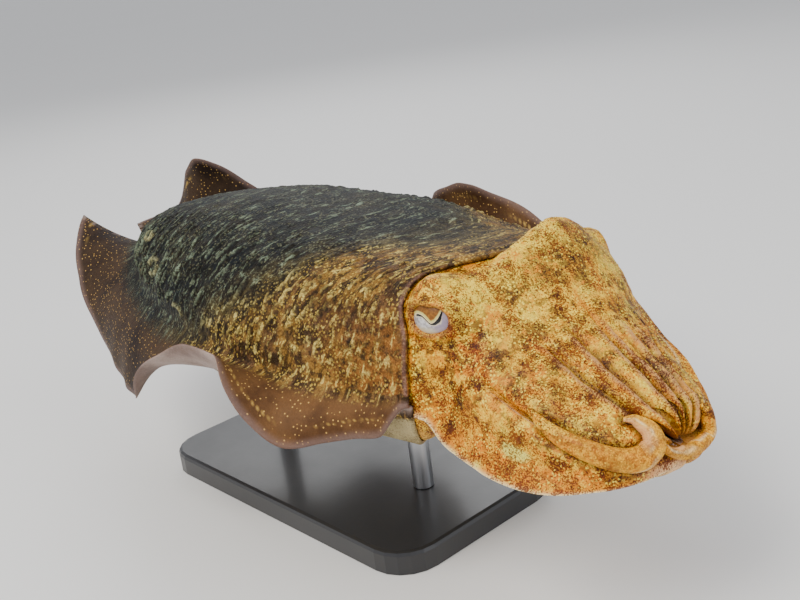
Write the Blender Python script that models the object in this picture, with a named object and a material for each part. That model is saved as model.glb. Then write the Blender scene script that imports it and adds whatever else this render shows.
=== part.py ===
"""A life-size model of a common cuttlefish on a plain display stand.

Local measures are in millimetres: x forward along the mantle, y to the animal's left, z up,
with the fin roots at height 0 and the mantle's collar near x = 0. Everything hangs from one
empty that lifts the stand's underside to the ground.
"""
import math

import bmesh
import bpy
import numpy as np
from mathutils import Matrix

MM = 0.001
GAP = 0.32                  # clearance between touching nodes
TAIL_X = -194.0             # rear end of the mantle
MANTLE_HALF_WIDTH = 57.5
MANTLE_BACK = 42.5          # back above the fin roots
MANTLE_BELLY = 24.0         # belly below the fin roots
RIM_DORSAL = 26.0           # forward reach of the collar above the head
RIM_SIDE = 12.0
RIM_FLANK = 5.0             # how much further forward the rim stands at the sides
RIM_DIP = 4.0               # how far it falls back at the shoulders
FAR_LOWER = 0.16            # share by which the far shoulder is lower
BACK_LOWER = 0.10           # share by which the back is lower behind the shoulders
RIM_VENTRAL = -2.0
HEAD_ROOM = 0.8             # least room left round the head inside the collar
LIP = 2.6                   # thickness of the mantle wall at the collar
FIN_ROOT_THICK = 3.4
FIN_EDGE_THICK = 0.9
EYE_CENTRE = {1: (21.2, 27.8, 22.3), -1: (21.8, 30.4, 23.6)}
EYE_RADIUS = 8.2
EYE_OUTWARD = {1: (0.27, 0.90, 0.34), -1: (0.10, 0.985, 0.14)}
EYE_PIECES = (20, 12)       # segments and rings of the eye balls and of what clears them
DOME_U = 0.155              # middle of the swelling over each eye, along the head's axis
# Swelling over each eye: angle in degrees, size outwards and upwards in mm, width in radians.
DOMES = {1: (56, 1.0, 6.0, 0.45), -1: (142, 5.0, 9.0, 0.34)}
FAR_BROW = (7.0, 0.21, 84, 0.10, 0.38)  # height, place along the axis, angle, length, width
LID_OUT = 5.9               # lid ring's plane, out from the eye's centre
LID_HALF_LENGTH = 7.0
LID_HALF_HEIGHT = 5.2
LID_THICK = 1.5
LID_PIECES = (24, 6)
ARMS_FROM = 0.46            # where the arms leave the head, along the head's axis
ARMS_SPLIT = 0.71           # where each arm is divided into two lengths
CORE = 0.52                 # hollow inside the arm crown, as a share of its section
GROOVE = 1.5                # depth of the grooves between the arms
FUNNEL_X = (3.5, 10, 20, 30, 38)
FUNNEL_HALF_WIDTH = (11, 10.5, 9, 7.5, 6.5)
FUNNEL_HALF_HEIGHT = (2.6, 3.0, 3.6, 3.8, 3.6)
FUNNEL_Z = (-13.6, -15.2, -18.2, -19.6, -19.6)
FUNNEL_WALL = 1.2
FUNNEL_MOUTH_DEPTH = 7.0
BASE_SIZE = (140.0, 76.0, 8.0)
BASE_X = -72.0
BASE_TOP = -60.0
BASE_CORNER = 14.0
BASE_EDGE = 1.5
ROD_RADIUS = 3.6
ROD_TOP = -8.0              # before the belly is cut away from the rods
ROD_X = {"stand_rod_front": -32.0, "stand_rod_rear": -112.0}

AXIS_U = (0, 0.25, 0.5, 0.75, 1)
AXIS_X = (4, 27, 48, 68, 88)
AXIS_Y = (0, 0, -5, -10, -12)
AXIS_Z = (11, 9, 1.5, -4, -8)
SEC_U = (0, 0.1, 0.25, 0.42, 0.6, 0.75, 0.88, 1)
HALF_RIGHT = (34, 35, 36, 36.5, 34, 29.5, 22, 4)
HALF_LEFT = (34, 35, 33, 25, 22.5, 20.5, 15.5, 4)
TOP = (20, 22, 23, 20, 17, 14, 10, 3)
UNDER = (17, 19, 20, 18.5, 16.5, 13, 8, 5)
KEEL_RIGHT = (0, 7, 9.5, 8.5, 8.5, 7.5, 4.5, 2)
KEEL_LEFT = (0, 0, 2, 5, 5.5, 3.5, 2, 1)
KEEL_DROP = {1: -0.3, -1: 0.45}  # how far the keels slope down, in radians
KEEL_ANGLE = {1: 0.0, -1: math.radians(202)}

# Fin shape by share of the mantle's length from the tail: chord angle in degrees, chord in mm.
FIN_RIGHT = {
    "s": (0, .03, .06, .12, .2, .3, .44, .52, .60, .66, .71, .76, .79, .82, .855, .9, .94, .97, 1),
    "angle": (22, 4, -16, -40, -52, -56, -52, -38, 0, 24, 40, 40, 14, -14, -40, -50, -58, -58, -40),
    "chord": (35, 31, 29, 29, 30, 31, 29, 26, 24, 23, 22, 20, 18.5, 19, 20, 15.5, 12, 10.5, 5),
}
FIN_LEFT = {
    "s": (0, .04, .07, .10, .13, .16, .20, .3, .45, .52, .56, .6, .64, .67, .70, .74, .78, .85,
          .92, .96, 1),
    "angle": (5, 18, 62, 79, 72, 46, 8, -20, -8, 30, 48, 60, 66, 68, 60, 50, 30, -5, -18, -20, -10),
    "chord": (30, 29, 34, 39, 35.5, 29, 27, 29, 30, 30, 29, 30, 32, 32, 30, 28, 26, 22, 17, 11, 2),
}
FIN_BEND = 0.55             # share of the chord angle added towards the fin's edge

# Outer and inner borders of the right arms 1 to 4, as angles round the crown from the left side.
OUTER = {-1: (88, 102, 116, 154, 270), 1: (88, 75, 62, 28, -90)}
INNER = {-1: (90, 122, 156, 196, 270), 1: (90, 58, 24, -16, -90)}
ARM_END = {1: 0.93, 2: 0.935, 3: 0.93, 4: 0.97}
ARM_SIDES = {1: 4, 2: 4, 3: 6, 4: 14}
STATION_STEP = 0.044        # spacing of the sections along the arms' tip lengths
CURL_WIDENING = 13.0        # degrees that right arm 3 gains over arm 4 towards its curled tip
SUCKERS_BASE = 4            # suckers in each of the two rows, on the base length of an arm
SUCKERS_TIP = 5
SUCKER_RADIUS = 1.45        # at the arm's base
SUCKER_HEIGHT = 1.1
SUCKER_INSET = 0.66         # place of a row between the arm's border and its middle
SUCKER_SHARE = 0.29         # largest radius, as a share of half the inner face
SUCKER_SUNK = 0.4

# Curled tip of right arm 3 as it lies on the crown: place along the head's axis, angle, radius in mm.
CURL = ((0.76, 147, 1.2), (0.81, 149, 1.9), (0.86, 152, 2.3), (0.895, 151, 2.4), (0.912, 144, 2.6),
        (0.908, 134, 2.6), (0.885, 126, 2.4), (0.855, 123, 1.9), (0.825, 125, 1.3), (0.808, 130, 0.6))

COLOURS = {
    "mantle_skin": ((0.20, 0.13, 0.06), 0.0, 0.55),
    "head_skin": ((0.52, 0.27, 0.09), 0.0, 0.5),
    "arm_skin": ((0.58, 0.30, 0.09), 0.0, 0.5),
    "fin_skin": ((0.26, 0.19, 0.14), 0.0, 0.5),
    "funnel_skin": ((0.62, 0.55, 0.42), 0.0, 0.5),
    "eye_gloss": ((0.35, 0.33, 0.30), 0.0, 0.15),
    "stand_paint": ((0.03, 0.03, 0.035), 0.0, 0.5),
    "rod_steel": ((0.55, 0.56, 0.58), 1.0, 0.35),
}


def clear_scene():
    for obj in list(bpy.data.objects):
        bpy.data.objects.remove(obj, do_unlink=True)


def step(x, low, high):
    """Smooth rise from 0 to 1 between low and high."""
    t = np.clip((np.asarray(x, float) - low) / (high - low), 0, 1)
    return t * t * (3 - 2 * t)


def table(x, xs, ys):
    """Smooth curve through the listed values, without overshoot."""
    xs = np.asarray(xs, float)
    ys = np.asarray(ys, float)
    width = np.diff(xs)
    slope = np.diff(ys) / width
    tangent = np.zeros(len(xs))
    for i in range(1, len(xs) - 1):
        if slope[i - 1] * slope[i] > 0:
            tangent[i] = 2 * slope[i - 1] * slope[i] / (slope[i - 1] + slope[i])
    tangent[0] = slope[0]
    tangent[-1] = slope[-1]
    x = np.clip(np.asarray(x, float), xs[0], xs[-1])
    k = np.clip(np.searchsorted(xs, x, side="right") - 1, 0, len(xs) - 2)
    s = (x - xs[k]) / width[k]
    first = (2 * s**3 - 3 * s**2 + 1) * ys[k] + (s**3 - 2 * s**2 + s) * width[k] * tangent[k]
    last = (-2 * s**3 + 3 * s**2) * ys[k + 1] + (s**3 - s**2) * width[k] * tangent[k + 1]
    return first + last


def power(value, exponent):
    return np.sign(value) * np.abs(value) ** exponent


def mantle_point(t, angle, grow=0.0):
    """Mantle surface: t runs from the tail to the collar, angle goes round from the left side."""
    cos, sin = np.cos(angle), np.sin(angle)
    exponent = 2 / (2.15 + 0.75 * step(t, 0.6, 1.0))
    fullness = np.clip(1 - (1 - np.asarray(t, float)) ** 2.3, 0, 1)
    depth = fullness ** 0.60
    narrowing = 1 - 0.25 * step(t, 0.62, 1.05) ** 1.3
    half = MANTLE_HALF_WIDTH * fullness ** 0.82 * narrowing + grow
    back = MANTLE_BACK * depth * (1 - 0.13 * step(t, 0.7, 1.0)) + grow
    belly = MANTLE_BELLY * depth * (1 - 0.08 * step(t, 0.7, 1.0)) + grow
    above = np.clip(sin, 0, 1) ** 8
    lean = np.abs(angle_gap(angle, math.pi / 2))
    side_reach = RIM_SIDE + RIM_FLANK * step(lean, 0.85, 1.25) - RIM_DIP * bell(lean - 0.56, 0.26)
    share = np.where(sin > 0, above, np.abs(sin) ** 3)
    reach = RIM_DORSAL * above + side_reach * (1 - share) + RIM_VENTRAL * np.clip(-sin, 0, 1) ** 2
    x = TAIL_X + (reach * step(t, 0.35, 1.0) - TAIL_X) * t
    side = power(cos, exponent)
    height = power(sin, exponent)
    lower = FAR_LOWER * step(t, 0.72, 1.0) * bell(angle_gap(angle, math.radians(60)), 0.5)
    lower = lower + BACK_LOWER * step(t, 0.5, 0.8) * (1 - step(t, 0.85, 1.0))
    z = 7 * (1 - t) ** 2 + np.where(height > 0, back * (1 - lower), belly) * height
    return np.stack(np.broadcast_arrays(x, half * side, z), -1)


def head_axis(u):
    return np.stack([table(u, AXIS_U, AXIS_X), table(u, AXIS_U, AXIS_Y), table(u, AXIS_U, AXIS_Z)], -1)


def head_frame(u):
    """Centre, side and upward directions of the head's section at u."""
    small = 1e-3
    along = head_axis(np.clip(u + small, 0, 1)) - head_axis(np.clip(u - small, 0, 1))
    along = along / np.linalg.norm(along)
    side = np.cross((0, 0, 1.0), along)
    side = side / np.linalg.norm(side)
    return head_axis(u), side, np.cross(along, side), along


def bell(x, width):
    """Smooth hump of height 1 at 0."""
    return np.exp(-(np.asarray(x, float) / width) ** 2)


def angle_gap(angle, centre):
    return np.angle(np.exp(1j * (angle - centre)))


def core_section(u, angle):
    """Rounded outline of the head and arm crown without the keels and eye domes."""
    cos, sin = np.cos(angle), np.sin(angle)
    upper = 2 / (2.4 - 0.5 * step(u, 0.2, 0.45))
    exponent = np.where(sin > 0, upper, 2 / 2.3)
    half = np.where(cos > 0, table(u, SEC_U, HALF_LEFT), table(u, SEC_U, HALF_RIGHT))
    height = np.where(sin > 0, table(u, SEC_U, TOP), table(u, SEC_U, UNDER))
    return half * power(cos, exponent), height * power(sin, exponent)


def head_section(u, angle):
    y, z = core_section(u, angle)
    for side, keel in ((1, KEEL_LEFT), (-1, KEEL_RIGHT)):
        swell = table(u, SEC_U, keel) * bell(angle_gap(angle, KEEL_ANGLE[side]), 0.17)
        y = y + side * swell * math.cos(KEEL_DROP[side])
        z = z - swell * math.sin(KEEL_DROP[side])
        middle, out, up, width = DOMES[side]
        dome = bell(u - DOME_U, 0.10) * bell(angle_gap(angle, math.radians(middle)), width)
        y = y + side * out * dome
        z = z + up * dome
    up, place, middle, length, width = FAR_BROW
    brow = bell(u - place, length) * bell(angle_gap(angle, math.radians(middle)), width)
    return y, z + up * brow


def head_ring(u, angles, scale=1.0, grow=0.0):
    centre, side, up, _ = head_frame(u)
    y, z = head_section(u, angles)
    length = np.maximum(np.hypot(y, z), 1e-6)
    y = y * scale + grow * y / length
    z = z * scale + grow * z / length
    return centre + np.outer(y, side) + np.outer(z, up)


def head_angles():
    """Angles round the head, close together at the two keels."""
    even = np.radians(np.arange(-90, 270, 12.0))
    fine = [KEEL_ANGLE[side] + math.radians(d) for side in (1, -1) for d in (-9, -4.5, 0, 4.5, 9)]
    near = [min(abs(angle_gap(a, k)) for k in KEEL_ANGLE.values()) for a in even]
    kept = [a for a, d in zip(even, near) if d > math.radians(11)]
    return np.sort(np.array(kept + fine))


def make_object(name, points, faces, slot, collection):
    """Mesh object from millimetre points. A slot of None leaves it without a material."""
    mesh = bpy.data.meshes.new(name)
    mesh.from_pydata([tuple(p * MM) for p in np.asarray(points, float)], [], faces)
    mesh.validate()
    obj = bpy.data.objects.new(name, mesh)
    collection.objects.link(obj)
    tidy = bmesh.new()
    tidy.from_mesh(mesh)
    bmesh.ops.recalc_face_normals(tidy, faces=tidy.faces)
    tidy.to_mesh(mesh)
    tidy.free()
    if slot:
        mesh.materials.append(material(slot))
    else:
        obj.display_type = "WIRE"
    return obj


def material(slot):
    found = bpy.data.materials.get(slot)
    if found:
        return found
    colour, metallic, roughness = COLOURS[slot]
    made = bpy.data.materials.new(slot)
    made.use_nodes = True
    shader = made.node_tree.nodes["Principled BSDF"]
    shader.inputs["Base Color"].default_value = (*colour, 1)
    shader.inputs["Metallic"].default_value = metallic
    shader.inputs["Roughness"].default_value = roughness
    return made


def loft(rings, start_tip=None, end_tip=None, turned=False):
    """Faces through a row of closed rings, with each end closed by a fan or by a tip point.

    With turned set, the last side of each ring is split along its other diagonal. The border
    between two arms is then split the same way in both, so that they can't cross where it warps.
    """
    count = len(rings[0])
    points = [p for ring in rings for p in ring]
    faces = []
    for i in range(len(rings) - 1):
        for j in range(count):
            a = i * count + j
            b = i * count + (j + 1) % count
            if turned and j == count - 1:
                faces.append((a, b, a + count))
                faces.append((b, b + count, a + count))
            else:
                faces.append((a, b, b + count))
                faces.append((a, b + count, a + count))
    for ring, tip, flip in ((0, start_tip, True), (len(rings) - 1, end_tip, False)):
        middle = np.mean(rings[ring], axis=0) if tip is None else np.asarray(tip, float)
        points.append(middle)
        for j in range(count):
            a = ring * count + j
            b = ring * count + (j + 1) % count
            faces.append((b, a, len(points) - 1) if flip else (a, b, len(points) - 1))
    return points, faces


def mantle_stations():
    """Shares of the mantle's length used by the mantle and by both fins, so that they match."""
    return np.concatenate([np.linspace(0.012, 0.10, 5), np.linspace(0.13, 0.985, 23)])


def build_mantle(collection, cutters):
    angles = np.linspace(0, 2 * math.pi, 32, endpoint=False)
    stations = np.append(mantle_stations(), 1.0)
    rings = [mantle_point(t, angles) for t in stations]
    rim = rings[-1]
    middle = np.array([0.0, 0.0, 7.0])
    inward = rim - middle
    inward[:, 0] = 0
    inward = inward / np.linalg.norm(inward, axis=1)[:, None]
    rings.append(rim - inward * LIP + np.array([-0.6, 0, 0]))
    centre, side, up, along = head_frame(0.0)
    inner = head_ring(0.0, angles, grow=1.6)
    rings.append(inner - along * GAP)
    points, faces = loft(rings, start_tip=(TAIL_X, 0, 7.0), end_tip=centre - along * GAP)
    mantle = make_object("mantle", points, faces, "mantle_skin", collection)
    make_room(mantle, cutters)
    return mantle


def make_room(mantle, cutters):
    """Cut the collar back where the head and the eyes come near it."""
    angles = head_angles()
    rings = [head_ring(u, angles, grow=HEAD_ROOM) for u in np.linspace(0.0, 0.36, 17)]
    points, faces = loft(rings)
    combine(mantle, make_object("head_room", points, faces, None, cutters), "DIFFERENCE")
    for side in (1, -1):
        combine(mantle, to_cutters(eye_ball(side, HEAD_ROOM), cutters), "DIFFERENCE")


def build_fin(side, shape, name, collection):
    """One fin: the chord swings up and down along the body and bends towards the edge."""
    stations = mantle_stations()
    shares = np.array([0.0, 0.3, 0.62, 1.0])
    rings = []
    for s in stations:
        rings.append(fin_section(side, shape, s, shares))
    points, faces = strip_solid(rings)
    return make_object(name, points, faces, "fin_skin", collection)


def fin_frame(side, s):
    """Root point, outward direction and sideways direction along the body."""
    base = 0.0 if side > 0 else math.pi
    root = mantle_point(s, base)
    before = mantle_point(max(s - 0.004, 0.0), base)
    after = mantle_point(min(s + 0.004, 1.0), base)
    along = after - before
    along = along / np.linalg.norm(along)
    clear = np.cross(along, (0, 0, 1.0)) * -side
    back = math.radians(float(table(s, (0, 0.05, 0.15, 0.3), (68, 48, 22, 0))))
    out = np.array([-math.sin(back), side * math.cos(back), 0.0])
    return root, clear, out


def fin_section(side, shape, s, shares):
    """Upper and lower points across the fin at s."""
    root, clear, out = fin_frame(side, s)
    chord = float(table(s, shape["s"], shape["chord"]))
    swing = math.radians(float(table(s, shape["s"], shape["angle"])))
    steps = 12
    upper, lower = [], []
    for v in shares:
        inner = v * (np.arange(steps) + 0.5) / steps
        bend = swing + FIN_BEND * swing * (2 * inner - 1)
        away = np.cos(bend).mean() * v * chord
        rise = np.sin(bend).mean() * v * chord
        local = swing + FIN_BEND * swing * (2 * v - 1)
        point = root + clear * GAP + out * away + np.array([0, 0, rise])
        normal = np.array([0, 0, math.cos(local)]) - out * math.sin(local)
        if v == 0:
            normal = np.array([0, 0, 1.0])
        thick = FIN_ROOT_THICK + (FIN_EDGE_THICK - FIN_ROOT_THICK) * v ** 0.8
        upper.append(point + normal * thick / 2)
        lower.append(point - normal * thick / 2)
    return upper + lower[::-1]


def strip_solid(rings):
    """Closed solid through open strips: both ends are closed by quads across the thickness."""
    count = len(rings[0])
    half = count // 2
    points = [p for ring in rings for p in ring]
    faces = []
    for i in range(len(rings) - 1):
        for j in range(count):
            a = i * count + j
            b = i * count + (j + 1) % count
            if j < half:
                faces.append((a, b, b + count))
                faces.append((a, b + count, a + count))
            else:
                faces.append((a, b, a + count))
                faces.append((b, b + count, a + count))
    for ring, flip in ((0, True), (len(rings) - 1, False)):
        start = ring * count
        for j in range(half - 1):
            quad = (start + j, start + j + 1, start + count - 2 - j, start + count - 1 - j)
            faces.append(quad[::-1] if flip else quad)
    return points, faces


def build_head(collection, cutters):
    angles = head_angles()
    stations = np.concatenate([[0.0], np.linspace(0.045, ARMS_FROM, 12)])
    rings = [head_ring(u, angles) for u in stations]
    points, faces = loft(rings, start_tip=head_axis(0.0), end_tip=head_axis(ARMS_FROM))
    head = make_object("head", points, faces, "head_skin", collection)
    for side in (1, -1):
        combine(head, lid_ring(side, cutters), "UNION")
        combine(head, to_cutters(eye_ball(side, GAP), cutters), "DIFFERENCE")


def eye_ball(side, grow=0.0):
    """Sphere at one eye's place, larger than the eye by grow."""
    x, y, z = EYE_CENTRE[side]
    segments, rings = EYE_PIECES
    bpy.ops.mesh.primitive_uv_sphere_add(
        segments=segments, ring_count=rings, radius=(EYE_RADIUS + grow) * MM,
        location=(x * MM, side * y * MM, z * MM),
    )
    return bpy.context.object


def lid_ring(side, cutters):
    """Raised fold round the eye: a closed ring, thicker above."""
    mirror = np.array([1.0, side, 1.0])
    outward = np.array(EYE_OUTWARD[side]) * mirror
    outward = outward / np.linalg.norm(outward)
    along = np.cross((0, 0, 1.0), outward)
    along = along / np.linalg.norm(along)
    up = np.cross(outward, along)
    centre = np.array(EYE_CENTRE[side]) * mirror + outward * LID_OUT
    points, faces = [], []
    around, across = LID_PIECES
    for i in range(around):
        a = 2 * math.pi * i / around
        lift = LID_HALF_HEIGHT - 0.5 * math.sin(a)
        radial = along * math.cos(a) * LID_HALF_LENGTH + up * math.sin(a) * lift
        thick = LID_THICK + 0.6 * max(math.sin(a), 0.0)
        direction = radial / np.linalg.norm(radial)
        for j in range(across):
            b = 2 * math.pi * j / across
            points.append(centre + radial + direction * thick * math.cos(b) + outward * thick * math.sin(b))
    for i in range(around):
        for j in range(across):
            a = i * across + j
            b = i * across + (j + 1) % across
            c = ((i + 1) % around) * across + (j + 1) % across
            d = ((i + 1) % around) * across + j
            faces.append((a, b, c, d))
    return make_object("lid", points, faces, None, cutters)


def adopt(obj, name, slot, collection):
    obj.name = name
    obj.data.name = name
    for other in list(obj.users_collection):
        other.objects.unlink(obj)
    collection.objects.link(obj)
    obj.data.materials.clear()
    obj.data.materials.append(material(slot))
    return obj


def to_cutters(obj, cutters):
    for other in list(obj.users_collection):
        other.objects.unlink(obj)
    cutters.objects.link(obj)
    obj.display_type = "WIRE"
    return obj


def combine(obj, other, operation):
    """Boolean of one object with another, applied; the other object is removed."""
    modifier = obj.modifiers.new("join", "BOOLEAN")
    modifier.operation = operation
    modifier.solver = "EXACT"
    modifier.object = other
    settle(obj)
    bpy.data.objects.remove(other, do_unlink=True)


def settle(obj):
    """Apply the modifiers and keep the largest closed surface."""
    bpy.context.view_layer.update()
    graph = bpy.context.evaluated_depsgraph_get()
    mesh = bpy.data.meshes.new_from_object(obj.evaluated_get(graph))
    obj.modifiers.clear()
    obj.data = mesh
    mesh.name = obj.name
    work = bmesh.new()
    work.from_mesh(mesh)
    shells = []
    left = set(work.faces)
    while left:
        shell = face_shell(next(iter(left)))
        left -= shell
        shells.append(shell)
    shells.sort(key=len)
    extra = [f for shell in shells[:-1] for f in shell]
    bmesh.ops.delete(work, geom=extra, context="FACES")
    work.to_mesh(mesh)
    work.free()


def face_shell(seed):
    """All faces joined to this one through edges that two faces share."""
    shell, queue = {seed}, [seed]
    while queue:
        for edge in queue.pop().edges:
            if len(edge.link_faces) != 2:
                continue
            for face in edge.link_faces:
                if face not in shell:
                    shell.add(face)
                    queue.append(face)
    return shell


def outer_angle(u, side, border):
    """Angle of the border on the crown's outside; right arm 3 widens to its curled tip."""
    widening = CURL_WIDENING * float(step(u, 0.72, 0.88)) if (side, border) == (-1, 3) else 0.0
    return OUTER[side][border] + widening


def arm_border(u, side, arm, later):
    """Inner and outer ends of the border before or after an arm, in the section's plane."""
    k = arm - 1 + (1 if later else 0)
    outer = math.radians(outer_angle(u, side, k))
    inner = math.radians(INNER[side][k])
    out = np.array(head_section(u, np.array(outer)))
    core = np.array(core_section(u, np.array(inner))) * CORE
    return core, out


def arm_ring(u, side, arm):
    """Section of one arm: its arched outer face, and its flat inner face with the suckers."""
    first_in, first_out = arm_border(u, side, arm, False)
    last_in, last_out = arm_border(u, side, arm, True)
    count = ARM_SIDES[arm]
    q = np.linspace(0, 1, count + 1)
    start, stop = outer_angle(u, side, arm - 1), outer_angle(u, side, arm)
    outer = np.radians(start + (stop - start) * q)
    y, z = head_section(u, outer)
    arc = np.stack([y, z], -1)
    size = float(table(u, SEC_U, TOP)) / 20
    pull = GROOVE * size * np.abs(2 * q - 1) ** 5
    arc = arc * (1 - pull / np.linalg.norm(arc, axis=1))[:, None]
    first, last = INNER[side][arm - 1], INNER[side][arm]
    y, z = core_section(u, np.radians([first, (first + last) / 2, last]))
    face = np.stack([y, z], -1) * CORE
    for row in (arc[0], face[0]):
        row += border_shift(first_in, first_out, -side)
    for row in (arc[-1], face[-1]):
        row += border_shift(last_in, last_out, side)
    return np.concatenate([arc, face[::-1]])


def border_shift(inner, outer, turn):
    """Half a gap to one side of a border."""
    along = (outer - inner) / np.linalg.norm(outer - inner)
    return np.array([-along[1], along[0]]) * turn * GAP / 2


def place(u, flat, along_shift=0.0):
    """Puts a flat section into its place at u on the head's axis."""
    centre, side, up, along = head_frame(u)
    return centre + np.outer(flat[:, 0], side) + np.outer(flat[:, 1], up) + along * along_shift


def tapered_ring(u, side, arm):
    """Section of one arm, drawn in towards its middle where the arm ends."""
    flat = arm_ring(u, side, arm)
    left = (ARM_END[arm] - u) / 0.07
    if left >= 1:
        return flat
    keep = 0.35 + 0.65 * math.sqrt(max(1 - (1 - left) ** 2, 0.0))
    middle = flat.mean(axis=0)
    return middle + (flat - middle) * keep


def build_arm(side, arm, collection):
    """Both lengths of one arm, with the suckers sunk into the inner face."""
    word = "left" if side > 0 else "right"
    end = ARM_END[arm]
    lengths = {
        "base": (np.linspace(ARMS_FROM, ARMS_SPLIT, 5), SUCKERS_BASE),
        "tip": (np.append(np.arange(ARMS_SPLIT, end - 0.02, STATION_STEP), end), SUCKERS_TIP),
    }
    for label, (stations, suckers) in lengths.items():
        rings = []
        for u in stations:
            rings.append(place(u, tapered_ring(u, side, arm), GAP if u == stations[0] else 0.0))
        points, faces = loft(rings, turned=True)
        length = make_object(f"arm_{word}_{arm}_{label}", points, faces, "arm_skin", collection)
        extras = new_extras()
        if (side, arm, label) == (-1, 3, "tip"):
            curled_tip(extras)
        sucker_rows(side, arm, stations[0], stations[-1], suckers, extras)
        combine_all(length, extras)


def new_extras():
    extras = bpy.data.collections.new("extras")
    extras.hide_render = True
    bpy.context.scene.collection.children.link(extras)
    return extras


def sucker_rows(side, arm, start, stop, count, extras):
    """Two rows of cups along the inner face, smaller towards the tip."""
    spots = start + (stop - start) * (np.arange(count) + 0.5) / count * 0.94
    for u in spots:
        centre, across, up, along = head_frame(u)
        face = tapered_ring(u, side, arm)[-3:]
        for first, last in ((face[0], face[1]), (face[2], face[1])):
            middle = first + (last - first) * SUCKER_INSET
            width = np.linalg.norm(last - first)
            flat = np.array([-(last - first)[1], (last - first)[0]]) / width
            flat = flat * (1 if flat @ -middle > 0 else -1)
            radius = min(SUCKER_RADIUS, SUCKER_SHARE * width)
            spot = centre + across * middle[0] + up * middle[1]
            add_sucker(spot, across * flat[0] + up * flat[1], along, radius, extras)


def add_sucker(spot, inward, along, radius, extras):
    """Six-sided cup: a cone frustum with its mouth pressed in."""
    height = SUCKER_HEIGHT * radius / SUCKER_RADIUS
    third = np.cross(inward, along)
    middle = spot + inward * (height - SUCKER_SUNK) / 2
    matrix = Matrix(np.column_stack([along, third, inward]).tolist()).to_4x4()
    matrix.translation = (middle * MM).tolist()
    work = bmesh.new()
    bmesh.ops.create_cone(
        work, cap_ends=True, segments=6, radius1=radius * 0.78 * MM, radius2=radius * MM,
        depth=(height + SUCKER_SUNK) * MM,
    )
    mouth = max(work.faces, key=lambda f: f.calc_center_median().z)
    bmesh.ops.inset_individual(work, faces=[mouth], thickness=radius * 0.38 * MM, depth=-height * 0.5 * MM)
    mesh = bpy.data.meshes.new("sucker")
    work.to_mesh(mesh)
    work.free()
    sucker = bpy.data.objects.new("sucker", mesh)
    extras.objects.link(sucker)
    sucker.matrix_world = matrix


def curled_tip(extras):
    """Tapering ridge that curls round on the outside of right arm 3."""
    knots = np.linspace(0, 1, len(CURL))
    steps = np.linspace(0, 1, 22)
    u, angle, radius = (table(steps, knots, [row[k] for row in CURL]) for k in range(3))
    path = np.array([head_ring(a, np.array([math.radians(b)]))[0] for a, b in zip(u, angle)])
    rings = []
    for k in range(len(path)):
        along = path[min(k + 1, len(path) - 1)] - path[max(k - 1, 0)]
        along = along / np.linalg.norm(along)
        outward = path[k] - head_axis(u[k])
        outward = outward - along * (outward @ along)
        outward = outward / np.linalg.norm(outward)
        across = np.cross(along, outward)
        turn = np.linspace(0, 2 * math.pi, 8, endpoint=False)
        rings.append(path[k] + radius[k] * (np.outer(np.cos(turn), across) + np.outer(np.sin(turn), outward)))
    points, faces = loft(rings)
    make_object("curl", points, faces, None, extras)


def combine_all(obj, extras):
    """Union of an object with a whole collection, which is then removed."""
    modifier = obj.modifiers.new("join", "BOOLEAN")
    modifier.operation = "UNION"
    modifier.solver = "EXACT"
    modifier.operand_type = "COLLECTION"
    modifier.collection = extras
    settle(obj)
    for other in list(extras.objects):
        bpy.data.objects.remove(other, do_unlink=True)
    bpy.data.collections.remove(extras)


def build_funnel(collection):
    """Flattened tube under the head, open in front."""
    angles = np.linspace(0, 2 * math.pi, 16, endpoint=False)
    sections = list(zip(FUNNEL_X, FUNNEL_HALF_WIDTH, FUNNEL_HALF_HEIGHT, FUNNEL_Z))
    x, wide, tall, z = sections[-1]
    sections.append((x - 0.2, wide - FUNNEL_WALL, tall - FUNNEL_WALL, z))
    floor = x - FUNNEL_MOUTH_DEPTH
    sections.append((floor, wide - 1.4 * FUNNEL_WALL, tall - 1.4 * FUNNEL_WALL, z))
    rings = []
    for x, wide, tall, height in sections:
        ring = np.stack([np.full(16, x), wide * np.cos(angles), height + tall * np.sin(angles)], -1)
        rings.append(ring)
    points, faces = loft(rings, end_tip=(floor, 0, z))
    return make_object("funnel", points, faces, "funnel_skin", collection)


def build_stand(collection, cutters):
    length, width, thick = BASE_SIZE
    bpy.ops.mesh.primitive_cube_add(size=1, location=(BASE_X * MM, 0, (BASE_TOP - thick / 2) * MM))
    base = adopt(bpy.context.object, "stand_base", "stand_paint", collection)
    base.scale = (length * MM, width * MM, thick * MM)
    round_box(base)
    for name, x in ROD_X.items():
        low = BASE_TOP + GAP
        bpy.ops.mesh.primitive_cylinder_add(
            vertices=24, radius=ROD_RADIUS * MM, depth=(ROD_TOP - low) * MM,
            location=(x * MM, 0, (ROD_TOP + low) / 2 * MM),
        )
        rod = adopt(bpy.context.object, name, "rod_steel", collection)
        combine(rod, belly_cutter(cutters), "DIFFERENCE")


def round_box(obj):
    """Bake the scale, then round the upright corners and ease the top edge."""
    bpy.context.view_layer.update()
    obj.data.transform(obj.matrix_basis)
    obj.matrix_basis.identity()
    work = bmesh.new()
    work.from_mesh(obj.data)
    upright = [e for e in work.edges if abs(e.verts[0].co.z - e.verts[1].co.z) > 0.001]
    bmesh.ops.bevel(work, geom=upright, offset=BASE_CORNER * MM, segments=5, profile=0.5, affect="EDGES")
    top = max(v.co.z for v in work.verts)
    rim = [e for e in work.edges if all(abs(v.co.z - top) < 1e-6 for v in e.verts)]
    bmesh.ops.bevel(work, geom=rim, offset=BASE_EDGE * MM, segments=2, profile=0.5, affect="EDGES")
    work.to_mesh(obj.data)
    work.free()


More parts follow.
